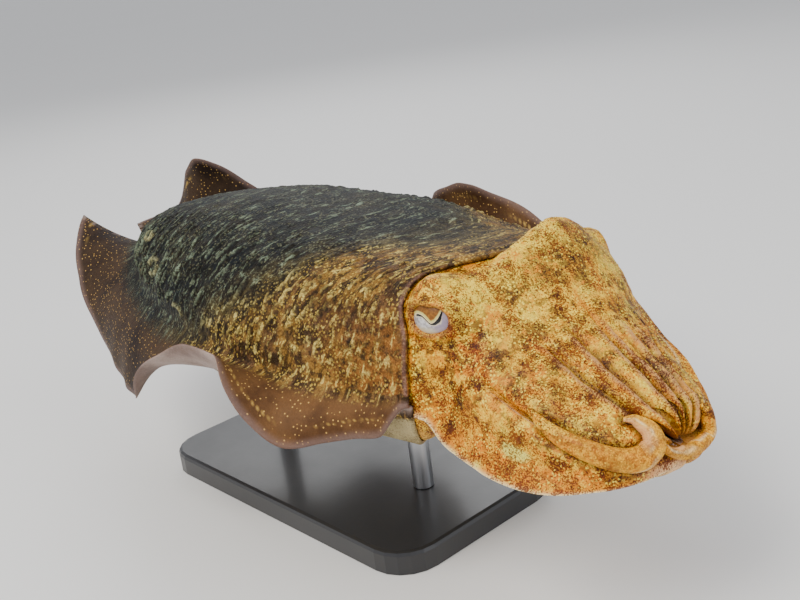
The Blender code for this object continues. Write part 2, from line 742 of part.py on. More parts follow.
def belly_cutter(cutters):
    """Copy of the mantle's outside, grown by the gap, to shape the tops of the rods."""
    angles = np.linspace(0, 2 * math.pi, 32, endpoint=False)
    rings = [mantle_point(t, angles, grow=GAP) for t in np.append(mantle_stations(), 1.0)]
    points, faces = loft(rings, start_tip=(TAIL_X - GAP, 0, 7.0))
    return make_object("belly", points, faces, None, cutters)


def hang_all(collection):
    """Parent every part to one empty that puts the origin at the middle of the underside."""
    bpy.context.view_layer.update()
    corners = []
    for obj in collection.objects:
        corners += [obj.matrix_world @ v.co for v in obj.data.vertices]
    low = [min(c[i] for c in corners) for i in range(3)]
    high = [max(c[i] for c in corners) for i in range(3)]
    hook = bpy.data.objects.new("cuttlefish_origin", None)
    collection.objects.link(hook)
    hook.location = (-(low[0] + high[0]) / 2, -(low[1] + high[1]) / 2, -low[2])
    for obj in collection.objects:
        if obj is not hook:
            obj.parent = hook


def main():
    clear_scene()
    scene = bpy.context.scene
    parts = bpy.data.collections.new("common_cuttlefish")
    cutters = bpy.data.collections.new("cutters")
    cutters.hide_render = True
    scene.collection.children.link(parts)
    scene.collection.children.link(cutters)
    build_mantle(parts, cutters)
    build_fin(-1, FIN_RIGHT, "fin_right", parts)
    build_fin(1, FIN_LEFT, "fin_left", parts)
    build_head(parts, cutters)
    adopt(eye_ball(-1), "eye_right", "eye_gloss", parts)
    adopt(eye_ball(1), "eye_left", "eye_gloss", parts)
    for side in (-1, 1):
        for arm in (1, 2, 3, 4):
            build_arm(side, arm, parts)
    build_funnel(parts)
    build_stand(parts, cutters)
    hang_all(parts)


main()
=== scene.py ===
"""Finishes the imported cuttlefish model: skin, eyes, suckers, stand finishes, floor, lights and camera.

Shapes are worked out in millimetres in the animal's own frame (x forward, y to its left, z up) and
then put in place by the stand's base, whose position in that frame is known.
"""

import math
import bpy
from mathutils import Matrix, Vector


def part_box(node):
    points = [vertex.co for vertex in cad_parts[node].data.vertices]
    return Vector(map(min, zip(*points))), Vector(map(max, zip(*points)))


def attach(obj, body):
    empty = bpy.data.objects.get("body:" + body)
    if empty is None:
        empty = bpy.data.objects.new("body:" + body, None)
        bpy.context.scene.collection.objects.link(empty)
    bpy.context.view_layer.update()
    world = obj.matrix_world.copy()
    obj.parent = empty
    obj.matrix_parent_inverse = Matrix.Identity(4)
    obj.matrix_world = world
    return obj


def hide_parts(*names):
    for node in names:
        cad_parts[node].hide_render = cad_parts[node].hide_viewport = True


bl_info = {
    "name": "Cuttlefish Model Finish",
    "version": (1, 0, 0),
    "blender": (4, 5, 0),
    "location": "View3D > Sidebar > Cuttlefish",
    "description": "Makes the skin, eyes, suckers, stand finish and studio of a cuttlefish model",
    "category": "Object",
}

import bmesh
import bpy
import numpy as np
from bpy.props import FloatProperty, FloatVectorProperty, IntProperty, PointerProperty
from mathutils import Matrix

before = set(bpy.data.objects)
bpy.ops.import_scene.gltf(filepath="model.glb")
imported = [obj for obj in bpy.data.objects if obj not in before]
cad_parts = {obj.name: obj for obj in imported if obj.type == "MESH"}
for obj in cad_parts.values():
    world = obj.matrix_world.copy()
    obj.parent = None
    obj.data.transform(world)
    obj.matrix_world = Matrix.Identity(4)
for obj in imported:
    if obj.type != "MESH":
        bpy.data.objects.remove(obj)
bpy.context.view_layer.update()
BASE_LOW, BASE_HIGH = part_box("stand_base")
# The animal's frame starts this far ahead of the base's middle and above its underside, in metres.
ORIGIN_AHEAD = 0.072
ORIGIN_ABOVE = 0.068
ORIGIN = np.array([
    (BASE_LOW[0] + BASE_HIGH[0]) / 2 + ORIGIN_AHEAD,
    (BASE_LOW[1] + BASE_HIGH[1]) / 2,
    BASE_LOW[2] + ORIGIN_ABOVE,
])
MM = 0.001
# Side of the lattice of random values behind the cloudy fields, and its offset.
LATTICE = 32
LATTICE_OFFSET = 200.0
# Layout of the material nodes: width and height of a place, and places in a row.
NODE_WIDTH, NODE_HEIGHT, NODES_IN_ROW = 220, 260, 12

# Lengths on the skin in mm for one unit along the mantle and along the head.
MANTLE_LENGTH = 220.0
HEAD_LENGTH = 92.0

# The same named sizes as the solids, in mm and degrees.
TAIL_X = -194.0
TAIL_RISE = 7.0
MANTLE_HALF_WIDTH = 57.5
MANTLE_BACK = 42.5
MANTLE_BELLY = 24.0
RIM_DORSAL = 26.0
RIM_SIDE = 12.0
RIM_FLANK = 5.0
RIM_DIP = 4.0
FAR_LOWER = 0.16
BACK_LOWER = 0.10
RIM_VENTRAL = -2.0
LIP = 1.5
RING_HEIGHT = 7.0
FIN_ROOT_THICK = 3.4
FIN_EDGE_THICK = 0.9
FIN_BEND = 0.55
ROOT_HALF = 2.7
FIN_COLUMNS = 25
BELLY_COLUMNS = 40
# Where a table has the keys 1 and -1, they are the left and the right side.
EYE_CENTRE = {1: (21.2, 27.8, 22.3), -1: (21.8, 30.4, 23.6)}
EYE_RADIUS = 8.2
EYE_OUTWARD = {1: (0.27, 0.90, 0.34), -1: (0.10, 0.985, 0.14)}
DOME_U = 0.155
DOMES = {1: (56, 1.0, 6.0, 0.45), -1: (142, 5.0, 9.0, 0.34)}
FAR_BROW = (7.0, 0.21, 84, 0.10, 0.38)
AXIS_U = (0, 0.25, 0.5, 0.75, 1)
AXIS_X = (4, 27, 48, 68, 88)
AXIS_Y = (0, 0, -5, -10, -12)
AXIS_Z = (11, 9, 1.5, -4, -8)
AXIS_STRETCH = 0.13
SEC_U = (0, 0.1, 0.25, 0.42, 0.6, 0.75, 0.88, 1)
HALF_RIGHT = (34, 35, 36, 36.5, 34, 29.5, 22, 4)
HALF_LEFT = (34, 35, 33, 25, 22.5, 20.5, 15.5, 4)
TOP = (20, 22, 23, 20, 17, 14, 10, 3)
UNDER = (17, 19, 20, 18.5, 16.5, 13, 8, 5)
KEEL_RIGHT = (7, 11, 9.5, 8.5, 8.5, 7.5, 4.5, 2)
KEEL_LEFT = (0, 0, 2, 5, 5.5, 3.5, 2, 1)
KEEL_DROP = {1: -0.3, -1: 0.45}
KEEL_ANGLE = {1: 0.0, -1: math.radians(202)}
FIN_RIGHT = {
    "s": (0, .03, .06, .12, .2, .3, .44, .52, .60, .66, .71, .76, .79, .82, .855, .9, .94, .97, 1),
    "angle": (22, 4, -16, -40, -52, -56, -52, -38, 0, 24, 40, 40, 14, -14, -40, -50, -58, -58, -40),
    "chord": (35, 31, 29, 29, 30, 31, 29, 26, 24, 23, 22, 20, 18.5, 19, 20, 15.5, 12, 10.5, 5),
}
FIN_LEFT = {
    "s": (0, .04, .07, .10, .13, .16, .20, .3, .45, .52, .56, .6, .64, .67, .70, .74, .78, .85,
          .92, .96, 1),
    "angle": (5, 18, 62, 79, 72, 46, 8, -20, -8, 30, 48, 60, 66, 68, 60, 50, 30, -5, -18, -20, -10),
    "chord": (30, 29, 34, 39, 35.5, 29, 27, 29, 30, 30, 29, 30, 32, 32, 30, 28, 26, 22, 17, 11, 2),
}
FUNNEL_X = (3.5, 10, 20, 30, 38)
FUNNEL_HALF_WIDTH = (11, 10.5, 9, 7.5, 6.5)
FUNNEL_HALF_HEIGHT = (2.6, 3.0, 3.6, 3.8, 3.6)
FUNNEL_Z = (-13.6, -15.2, -18.2, -19.6, -19.6)

# Borders between the arms round the crown, left arm 4 first, as angles from the left side.
BORDERS = (-90, 28, 62, 75, 88, 102, 116, 154, 270)
ARM_REACH = (0.97, 0.93, 0.935, 0.93, 0.93, 0.935, 0.93, 0.97)
# Degrees by which the border of the right third arm moves over towards its curled tip.
CURL_WIDENING = 13.0
# Curled tip of the right third arm: place along the head, angle, lift off the crown in mm, radius in mm.
CURL_RIGHT_3 = (
    (.64, 150.5, -.7, .8), (.70, 153.5, .1, 1.5), (.76, 156.5, .5, 2.1), (.82, 158.5, .8, 2.5),
    (.872, 161, .9, 2.7), (.912, 162.5, 1.0, 2.8), (.934, 155, 1.0, 2.9), (.936, 143, .9, 2.9),
    (.927, 131, .8, 2.6), (.897, 122, .6, 2.0), (.862, 121, .4, 1.3), (.838, 125, .2, .5),
)
# Curled tip of the left third arm: place along the head, left, up and radius in mm.
CURL_LEFT_3 = (
    (0.91, 9.3, 7.3, 1.3), (0.938, 8.4, 5.2, 1.7), (0.945, 8.7, 1.8, 1.9), (0.957, 6.2, 0, 2),
    (0.968, 1.9, 0, 1.9), (0.974, -3.1, 1, 1.7), (0.97, -7, 2.3, 1.4), (0.962, -9.5, 4.2, 1),
    (0.952, -9.8, 5.4, 0.4),
)
# The left third arm's keel shows behind this line: places along the head, angles.
FLAP_EDGE = ((.44, .55, .64, .73, .81, .88, .94), (38, 46, 52, 55, 55, 50, 36))
# The pale rim on that keel, in the same way.
FLAP_RIM = ((.5, .62, .78, .86, .92), (5, 9, 30, 34, 36))

# Marks on the head's skin: place along the head, angle in degrees, radius in mm.
DARK_MARKS_AND_SHADE = (
    # The first row is painted shade under the right third arm's curled tip, copied to the left side as well;
    # the rest are the skin's own dark marks.
    (.945, 172, 2.4), (.925, 186, 2.6), (.90, 192, 2.2),
    (.302, 115, 2.9), (.331, 116, 2.2), (.448, 120, 3.9), (.439, 140, 3.4), (.478, 140, 2.4),
    (.604, 123, 2.9), (.19, 181, 3.4), (.361, 176, 2.9), (.434, 182, 3.9), (.473, 174, 2.9),
    (.546, 142, 3.4), (.58, 145, 2.9), (.317, 98, 1.9), (.336, 80, 2.4), (.253, 64, 3.4),
    (.302, 89, 2.9), (.278, 99, 1.9), (.653, 98, 3.4), (.731, 70, 4.3), (.804, 74, 3.4),
    (.731, 120, 2.9), (.692, 147, 2.9), (.741, 146, 2.4), (.804, 142, 2.9), (.843, 143, 2.6),
    (.736, 169, 2.9), (.614, 166, 2.4), (.351, 138, 2.9), (.502, 165, 2.4), (.434, 194, 2.9),
    (.30, 160, 2.2), (.26, 192, 2.6), (.82, 172, 2.6), (.67, 134, 2.2),
    (.272, 73, 3.0), (.296, 64, 2.6), (.31, 84, 2.2),
)
PALE_MARKS = (
    (.219, 132, 5.3), (.263, 129, 4.8), (.263, 138, 4.8), (.249, 110, 4.3), (.161, 75, 4.3),
    (.166, 62, 2.4), (.395, 118, 3.9), (.395, 136, 2.4), (.385, 82, 2.9), (.541, 74, 2.9),
    (.497, 97, 2.9), (.6, 93, 2.4), (.697, 92, 2.9), (.799, 97, 1.9), (.785, 62, 1.6),
    (.897, 70, 1.9), (.536, 151, 2.2), (.663, 145, 1.9), (.76, 139, 2.4), (.79, 147, 2.4),
    (.726, 172, 1.9), (.873, 147, 1.4), (.614, 173, 3.4), (.234, 190, 2.9), (.59, 199, 1.2),
    (.502, 200, .9), (.322, 62, 1.9), (.877, 98, 1.4), (.814, 104, 1.2), (.33, 104, 2.6),
    (.24, 91, 4.6), (.235, 83, 3.6), (.60, 58, 1.4), (.67, 60, 1.6), (.74, 60, 1.5),
)
# Shade beside the curled tips, a pale oval with its length and width in mm, and white dots near it.
TIP_SHADE = ((.876, 277, 4.0), (.90, 296, 3.0))
OVAL_MARK = (.658, 187, 4.6, 2.9)
WHITE_DOTS = ((.508, 202, 1.0), (.584, 200, 1.1))
# Orange streaks along the crown: strength, angle, shift of the angle and where along the head it
# comes in, width in degrees, and where along the head the streak starts and ends; an end past 1 lets
# it run on to the tip.
STREAKS = (
    (1.0, 150.5, 6, (0.70, 0.86), 3.0, (0.34, 0.46), (0.90, 0.94)),
    (0.75, 111, -5, (0.58, 0.72), 5.5, (0.50, 0.66), (2, 3)),
    (0.8, 90, -6, (0.38, 0.62), 2.4, (0.34, 0.42), (2, 3)),
    (0.7, 73, -8, (0.28, 0.43), 2.6, (0.27, 0.33), (0.5, 0.6)),
)
# Small bumps of the back and of the head: how many, their mean radius in mm, and the stretch of skin
# that they are scattered over, along and across in mm.
BACK_BUMPS = (2600, 0.62, (16, 216, -70, 70))
HEAD_BUMPS = (3200, 0.36, (4, 86, -47, 141))
# Mean radius of the head in mm, which turns its angles into lengths.
HEAD_RADIUS = 30
# Angles of the eyes and of the keels, where the head's columns stand closer.
EYE_DEGREES = (157, 23)
KEEL_DEGREES = (202, -22)
# Size of the half circle round each arm's tip, as a share of the head's length.
NOSE = 0.045
# How the grooves between the arms deepen along the head.
GROOVE_GROWTH = ((0, 0.42, 0.6, 0.72, 0.82, 1), (0, 0.05, 0.35, 0.5, 0.7, 0.8))
# Rings of raised skin on the mantle, longer along it: place along it, angle, radius in mm and the
# direction opposite to their thin side in radians.
RING_MARKS = ((.368, 154, 5.2, -0.6), (.516, 170, 4.8, 0.4), (.256, 137, 3.8, 1.5))
RING_STRETCH = 1.8
# Mean radius of the back in mm, which turns the length of a ridge into an angle.
RIDGE_RADIUS = 50.0
# Lower border of the slate back: places along the mantle, degrees above the fin root.
SLATE_BORDER = (
    (0, 0.3, 0.45, 0.58, 0.66, 0.72, 0.78, 0.84, 1), (-50, -40, -22, -2, 14, 28, 46, 70, 104),
)
# The pupil's middle line and half width in mm, seen from in front of the eye.
PUPIL_X = (-4.6, -2.9, -2.0, -1.0, 0, 0.95, 1.67, 2.1, 2.8, 3.8, 4.3, 4.6, 4.9)
PUPIL_Y = (0.1, 0.68, 0.80, 0.77, 0.33, -0.37, -0.95, -1.11, -0.99, -0.22, 0.57, 1.54, 3.2)
PUPIL_HALF = (0.25, 0.27, 0.26, 0.16, 0.11, 0.11, 0.12, 0.14, 0.28, 0.40, 0.38, 0.30, 0.12)
# Lights: name, power setting and share of it, place and width in metres, colour.
LIGHTS = (
    ("key_light", "key_power", 1.0, (0.10, -0.75, 0.95), 0.55, (1.0, 0.965, 0.91)),
    ("fill_light", "fill_power", 1.0, (0.85, 0.20, 0.55), 0.9, (0.92, 0.96, 1.0)),
    ("back_light", "fill_power", 0.9, (-0.7, 0.55, 0.75), 0.6, (1.0, 1.0, 1.0)),
)
# Where the lights are aimed, in metres from the animal's origin, and the light from all round.
LIGHT_AIM = (-0.02, 0, 0)
AIR_COLOUR = (0.93, 0.95, 1.0, 1)
AIR_STRENGTH = 0.72
# The floor's lines of points each way, and how far it lies under the stand in metres.
FLOOR_LINES = 9
FLOOR_DROP = 0.0002
# Camera: lens in mm for a 36 mm wide picture, place in the animal's frame and directions.
CAMERA_LENS = 49.45
CAMERA_PLACE = (227.1, -219.0, 124.5)
CAMERA_TURN = ((0.6736, -0.1588, 0.7219), (0.7282, 0.3097, -0.6114), (-0.1265, 0.9375, 0.3243))


def whole(name, description, default, **limits):
    """Setting that is a whole number."""
    return IntProperty(name=name, description=description, default=default, **limits)


def metres(name, description, default, low, high):
    """Setting that is a length."""
    return FloatProperty(name=name, description=description, default=default, min=low, max=high,
                         unit="LENGTH", precision=5)


def watts(name, description, default):
    """Setting that is the strength of a light."""
    return FloatProperty(name=name, description=description, default=default, min=0, unit="POWER")


def tint(name, description, default):
    """Setting that is a colour."""
    return FloatVectorProperty(name=name, description=description, default=default, size=3,
                               subtype="COLOR", min=0, max=1)


class BodySizes(bpy.types.PropertyGroup):
    """What can be changed on the mantle and fins."""
    rows: whole("Rows", "Rows of points from tail to collar", 270, min=60, max=280)
    back_columns: whole("Back columns", "Points over the back, root to root", 178, min=40, max=180)
    ridge_height: metres("Ridge height", "Height of the raised skin ridges", 0.0013, 0, 0.003)
    ridge_spacing: metres("Ridge spacing", "Distance between ridge rows", 0.0046, 0.003, 0.02)
    seed: whole("Seed", "Picks the scatter of the ridges and bumps", 11)
    slate: tint("Slate", "Dark skin of the back", (0.007, 0.010, 0.014))
    gold: tint("Gold", "Golden brown skin of the sides", (0.30, 0.160, 0.032))
    crest: tint("Crests", "Pale tops of the ridges", (0.80, 0.63, 0.18))


class HeadSizes(bpy.types.PropertyGroup):
    """What can be changed on the head, arms and suckers."""
    rows: whole("Rows", "Rows of points from the neck to the arm tips", 158, min=40, max=170)
    columns: whole("Columns", "Points round the head", 426, min=80, max=440)
    groove: metres("Groove depth", "Depth of the grooves between the arms", 0.0017, 0, 0.004)
    sucker: metres("Sucker radius", "Radius of the largest suckers", 0.00095, 0.0004, 0.002)
    golden: tint("Golden", "Main skin colour", (0.76, 0.350, 0.012))
    orange: tint("Orange", "Streaks along the arms", (0.68, 0.215, 0.002))
    cream: tint("Cream", "Flecks and pale patches", (1.00, 0.76, 0.08))


class EyeSizes(bpy.types.PropertyGroup):
    """What can be changed on the eyes."""
    opening: metres("Opening", "Half the length of the eye's opening", 0.0058, 0.004, 0.0075)
    height: metres("Height", "Half the height of the eye's opening", 0.0041, 0.002, 0.006)
    silver: tint("Silver", "Pale lower part of the eye", (0.62, 0.60, 0.58))


class StudioSizes(bpy.types.PropertyGroup):
    """What can be changed on the floor and lights."""
    floor_tone: tint("Floor", "Colour of the floor", (0.80, 0.795, 0.78))
    floor_size: metres("Floor size", "Width of the floor", 80.0, 1, 1000)
    key_power: watts("Key light", "Strength of the main light", 13.0)
    fill_power: watts("Fill light", "Strength of the side light", 4.0)


class CuttlefishSizes(bpy.types.PropertyGroup):
    """All settings of the finish."""
    body: PointerProperty(type=BodySizes)
    head: PointerProperty(type=HeadSizes)
    eye: PointerProperty(type=EyeSizes)
    studio: PointerProperty(type=StudioSizes)


def step(x, low, high):
    """Smooth rise from 0 to 1 between low and high."""
    t = np.clip((np.asarray(x, float) - low) / (high - low), 0, 1)
    return t * t * (3 - 2 * t)


def bell(x, width):
    """Bell curve: the base of natural logarithms to minus the square of x over width."""
    return np.exp(-(np.asarray(x, float) / width) ** 2)


def table(x, xs, ys):
    """Smooth curve through the listed values, without overshoot: cubic pieces with harmonic slopes."""
    xs = np.asarray(xs, float)
    ys = np.asarray(ys, float)
    width = np.diff(xs)
    slope = np.diff(ys) / width
    tangent = np.zeros(len(xs))
    same = slope[:-1] * slope[1:] > 0
    total = np.where(same, slope[:-1] + slope[1:], 1.0)
    tangent[1:-1] = np.where(same, 2 * slope[:-1] * slope[1:] / total, 0.0)
    tangent[0] = slope[0]
    tangent[-1] = slope[-1]
    x = np.clip(np.asarray(x, float), xs[0], xs[-1])
    k = np.clip(np.searchsorted(xs, x, side="right") - 1, 0, len(xs) - 2)
    s = (x - xs[k]) / width[k]
    first = (2 * s**3 - 3 * s**2 + 1) * ys[k] + (s**3 - 2 * s**2 + s) * width[k] * tangent[k]
    last = (-2 * s**3 + 3 * s**2) * ys[k + 1] + (s**3 - s**2) * width[k] * tangent[k + 1]
    return first + last


def power(value, exponent):
    """Value to a power, keeping its sign."""
    return np.sign(value) * np.abs(value) ** exponent


def unit(vectors):
    """Vectors divided by their lengths."""
    return vectors / np.maximum(np.linalg.norm(vectors, axis=-1, keepdims=True), 1e-9)


def spread(density, low, high, count):
    """Count values from low to high, closer together where the density is higher."""
    x = np.linspace(low, high, 4000)
    total = np.cumsum(density(x))
    return np.interp(np.linspace(total[0], total[-1], count), total, x)


def full_turn(count):
    """Angles of points spread evenly round a circle."""
    return np.linspace(0, 2 * math.pi, count, endpoint=False)


def cloud(points, size, seed):
    """Smooth random field between -1 and 1: random values on a cubic lattice of the given size,
    blended between the eight nearest corners. The lattice repeats; an offset keeps it well away from
    zero."""
    lattice = np.random.default_rng(seed).uniform(-1, 1, (LATTICE, LATTICE, LATTICE))
    q = points / size + LATTICE_OFFSET
    cell = np.floor(q).astype(int)
    part = q - cell
    part = part * part * (3 - 2 * part)
    total = np.zeros(points.shape[:-1])
    for corner in np.ndindex(2, 2, 2):
        weight = np.prod(np.where(np.array(corner) == 1, part, 1 - part), axis=-1)
        i, j, k = np.moveaxis((cell + corner) % LATTICE, -1, 0)
        total += weight * lattice[i, j, k]
    return total


def mantle_sizes(t):
    """Exponent, half width, back height and belly depth of the mantle at t: powers of its fullness,
    which is one less the distance from the collar to the power 2.3."""
    exponent = 2 / (2.15 + 0.75 * step(t, 0.6, 1.0))
    fullness = np.clip(1 - (1 - np.asarray(t, float)) ** 2.3, 0, 1)
    depth = fullness ** 0.60
    narrowing = 1 - 0.25 * step(t, 0.62, 1.05) ** 1.3
    half = MANTLE_HALF_WIDTH * fullness ** 0.82 * narrowing
    back = MANTLE_BACK * depth * (1 - 0.13 * step(t, 0.7, 1.0))
    belly = MANTLE_BELLY * depth * (1 - 0.08 * step(t, 0.7, 1.0))
    return exponent, half, back, belly


def mantle_point(t, angle):
    """Mantle surface: a superellipse across, whose sizes follow t from the tail to the collar. The
    collar's rim reaches forward in the middle of the back, falls back at the shoulders and stands
    forward again at the sides; the far shoulder is a little lower."""
    t, angle = np.broadcast_arrays(np.asarray(t, float), np.asarray(angle, float))
    cos, sin = np.cos(angle), np.sin(angle)
    exponent, half, back, belly = mantle_sizes(t)
    above = np.clip(sin, 0, 1) ** 8
    lean = np.abs(angle_gap(angle, math.pi / 2))
    side = RIM_SIDE + RIM_FLANK * step(lean, 0.85, 1.25) - RIM_DIP * bell(lean - 0.56, 0.26)
    share = np.where(sin > 0, above, np.abs(sin) ** 3)
    reach = RIM_DORSAL * above + side * (1 - share) + RIM_VENTRAL * np.clip(-sin, 0, 1) ** 2
    x = TAIL_X + (reach * step(t, 0.35, 1.0) - TAIL_X) * t
    lower = FAR_LOWER * step(t, 0.72, 1.0) * near_angle(angle, 60, 0.5)
    lower = lower + BACK_LOWER * step(t, 0.5, 0.8) * (1 - step(t, 0.85, 1.0))
    height = power(sin, exponent)
    z = TAIL_RISE * (1 - t) ** 2 + np.where(height > 0, back * (1 - lower), belly) * height
    return np.stack([x, half * power(cos, exponent), z], -1)


def fin_points(side, shape, s, v):
    """Middle surface and normals of a fin: from the root the chord leaves at an angle that grows
    towards the edge, and both follow s along the body."""
    base = 0.0 if side > 0 else math.pi
    root = mantle_point(s, base)
    back = np.radians(table(s, (0, 0.05, 0.15, 0.3), (68, 48, 22, 0)))
    out = np.stack([-np.sin(back), side * np.cos(back), np.zeros_like(back)], -1)
    rise = np.array([0.0, 0.0, 1.0])
    chord = table(s, shape["s"], shape["chord"]) * (1 - 0.9 * step(s, 0.975, 1.0))
    swing = np.radians(table(s, shape["s"], shape["angle"]))
    inner = v[..., None] * (np.arange(12) + 0.5) / 12
    bend = swing[..., None] * (1 + FIN_BEND * (2 * inner - 1))
    away = np.cos(bend).mean(-1) * v * chord
    lift = np.sin(bend).mean(-1) * v * chord
    local = swing * (1 + FIN_BEND * (2 * v - 1)) * step(v, -0.05, 0.2)
    points = root + out * away[..., None] + rise * lift[..., None]
    normals = rise * np.cos(local)[..., None] - out * np.sin(local)[..., None]
    return points, normals, v * chord


def head_axis(u):
    """Middle line of the head at u."""
    return np.stack([table(u, AXIS_U, line) for line in (AXIS_X, AXIS_Y, AXIS_Z)], -1)


def head_frame(u):
    """Centre, side, up and forward directions of the head's section at u. The forward direction is
    taken over a stretch of the axis, so the sections turn gently."""
    ahead = head_axis(np.clip(u + AXIS_STRETCH, 0, 1))
    along = unit(ahead - head_axis(np.clip(u - AXIS_STRETCH, 0, 1)))
    side = unit(np.cross(np.array([0.0, 0.0, 1.0]), along))
    return head_axis(u), side, np.cross(along, side), along


def angle_gap(angle, centre):
    """Difference of two angles, brought between minus pi and pi."""
    return np.angle(np.exp(1j * (angle - centre)))


def near_angle(angle, degrees, width):
    """Bell curve over an angle given in degrees, its width in radians."""
    return bell(angle_gap(angle, math.radians(degrees)), width)


def core_section(u, angle):
    """Superellipse of the head without keels or eye swellings, its four half sizes following u."""
    cos, sin = np.cos(angle), np.sin(angle)
    exponent = np.where(sin > 0, 2 / (2.4 - 0.5 * step(u, 0.2, 0.45)), 2 / 2.3)
    half = np.where(cos > 0, table(u, SEC_U, HALF_LEFT), table(u, SEC_U, HALF_RIGHT))
    height = np.where(sin > 0, table(u, SEC_U, TOP), table(u, SEC_U, UNDER))
    return half * power(cos, exponent), height * power(sin, exponent)


def head_section(u, angle, keel=1.0, sharp=0.0):
    """The core section, with a bell-shaped keel on each side, a bell-shaped swelling over each eye
    and one more on the far side's brow. Sharp adds a narrow crest to the keels."""
    y, z = core_section(u, angle)
    for side, swell in ((1, KEEL_LEFT), (-1, KEEL_RIGHT)):
        gap = angle_gap(angle, KEEL_ANGLE[side])
        crest = bell(gap, 0.17) * (1 - 0.12 * sharp) + 0.16 * sharp * bell(gap, 0.045)
        rise = table(u, SEC_U, swell) * crest * keel
        y = y + side * rise * math.cos(KEEL_DROP[side])
        z = z - rise * math.sin(KEEL_DROP[side])
        middle, out, up, width = DOMES[side]
        dome = bell(u - DOME_U, 0.10) * near_angle(angle, middle, width)
        y = y + side * out * dome
        z = z + up * dome
    up, place, middle, length, width = FAR_BROW
    brow = bell(u - place, length) * near_angle(angle, middle, width)
    return y, z + up * brow


def to_space(u, y, z):
    """Points of the head's sections put in place on its axis."""
    centre, side, up, _ = head_frame(u)
    return centre + y[..., None] * side + z[..., None] * up


def arm_place(u, angle):
    """Number of the arm under each point, the share across it, and the distance to its nearer
    border in radians, negative on the lower-angle side of a border."""
    degrees = np.degrees(angle)
    edges = np.broadcast_to(np.array(BORDERS, float), u.shape + (9,)).copy()
    edges[..., 7] += CURL_WIDENING * step(u, 0.72, 0.88)
    index = np.clip((degrees[..., None] >= edges).sum(-1) - 1, 0, 7)
    low = np.take_along_axis(edges, index[..., None], -1)[..., 0]
    high = np.take_along_axis(edges, index[..., None] + 1, -1)[..., 0]
    share = (degrees - low) / (high - low)
    gap = np.where(share < 0.5, degrees - low, degrees - high)
    return index, share, np.radians(gap)


def eye_axes(side):
    """Eye centre, and its forward, upward and outward directions."""
    mirror = np.array([1.0, side, 1.0])
    outward = unit(np.array(EYE_OUTWARD[side]) * mirror)
    along = unit(np.cross((0, 0, 1.0), outward)) * -side
    return np.array(EYE_CENTRE[side]) * mirror, along, np.cross(outward, along) * -side, outward


def seat_eyes(points, sizes):
    """Skin round the eyes: within about twice the opening the surface is drawn to a rolled fold that
    stands off the ball, and inside the opening it drops just under the ball's surface."""
    lid = np.zeros(points.shape[:-1])
    for side in (-1, 1):
        centre, along, up, outward = eye_axes(side)
        rel = points - centre
        a, b, d = rel @ along - 0.5, rel @ up, rel @ outward
        tall = np.where(b > 0, sizes.height * (1 - 0.16 * bell(a, 2.6)), sizes.height) / MM
        wide = sizes.opening / MM * (1 + 0.10 * step(-b, 0.5, 3))
        f = np.maximum(np.hypot(a / wide, b / tall), 0.05)
        near = step(d, -8, -1.5) * (f < 3.0)
        edge = np.sqrt(np.clip(EYE_RADIUS**2 - (a / f + 0.5) ** 2 - (b / f) ** 2, 9, None))
        ball = np.sqrt(np.clip(EYE_RADIUS**2 - (a + 0.5) ** 2 - b**2, 9, None))
        over = step(b, -2, 3)
        roll = 0.25 + (0.75 + 0.35 * over) * bell(f - 1.22, 0.24) - 0.15 * over * bell(f - 1.62, 0.16)
        weight = 1 - step(f, 1.15, 2.1 + 0.3 * over)
        outside = d + (edge + roll - d) * weight
        inside = 1 - step(f, 0.88, 1.02)
        target = outside * (1 - inside) + (ball - 0.9) * inside
        points = points + outward * (near * (target - d))[..., None]
        lid = np.maximum(lid, near * bell(f - 1.08, 0.16))
    return points, lid


def surface_normals(points, outward_from):
    """Normals of a grid that closes on itself across its rows, turned away from the given points."""
    across = np.roll(points, -1, 1) - np.roll(points, 1, 1)
    normals = unit(np.cross(across, np.gradient(points, axis=0)))
    facing = ((points - outward_from) * normals).sum(-1)
    return normals * (1 if np.median(facing) > 0 else -1)


def quads(rows, columns):
    """Four-sided faces between neighbouring rows; the last column joins the first."""
    i = np.arange(rows - 1)[:, None]
    j = np.arange(columns)[None, :]
    a = i * columns + j
    b = i * columns + (j + 1) % columns
    return np.stack([a, b, b + columns, a + columns], -1).reshape(-1, 4)


def fan(start, columns, middle):
    """Triangles from one row to a middle point."""
    j = np.arange(columns)
    return np.stack([start + j, start + (j + 1) % columns, np.full(columns, middle)], -1)


def shell(points, data, cap_first=None, cap_last=None):
    """Part made of a grid: its points, faces and values. The first and last rows can be closed to
    middle points, whose values are zero."""
    rows, columns = points.shape[:2]
    flat = points.reshape(-1, 3)
    faces = quads(rows, columns).tolist()
    for start, middle in ((0, cap_first), ((rows - 1) * columns, cap_last)):
        if middle is not None:
            faces += fan(start, columns, len(flat)).tolist()
            flat = np.vstack([flat, middle])
    values = {}
    for key, field in data.items():
        listed = np.asarray(field, float).reshape(rows * columns, *np.shape(field)[2:])
        values[key] = np.concatenate([listed, np.zeros((len(flat) - len(listed), *listed.shape[1:]))])
    return flat, faces, values


def add_object(name, data):
    """New object in the scene."""
    made = bpy.data.objects.new(name, data)
    bpy.context.scene.collection.objects.link(made)
    return made


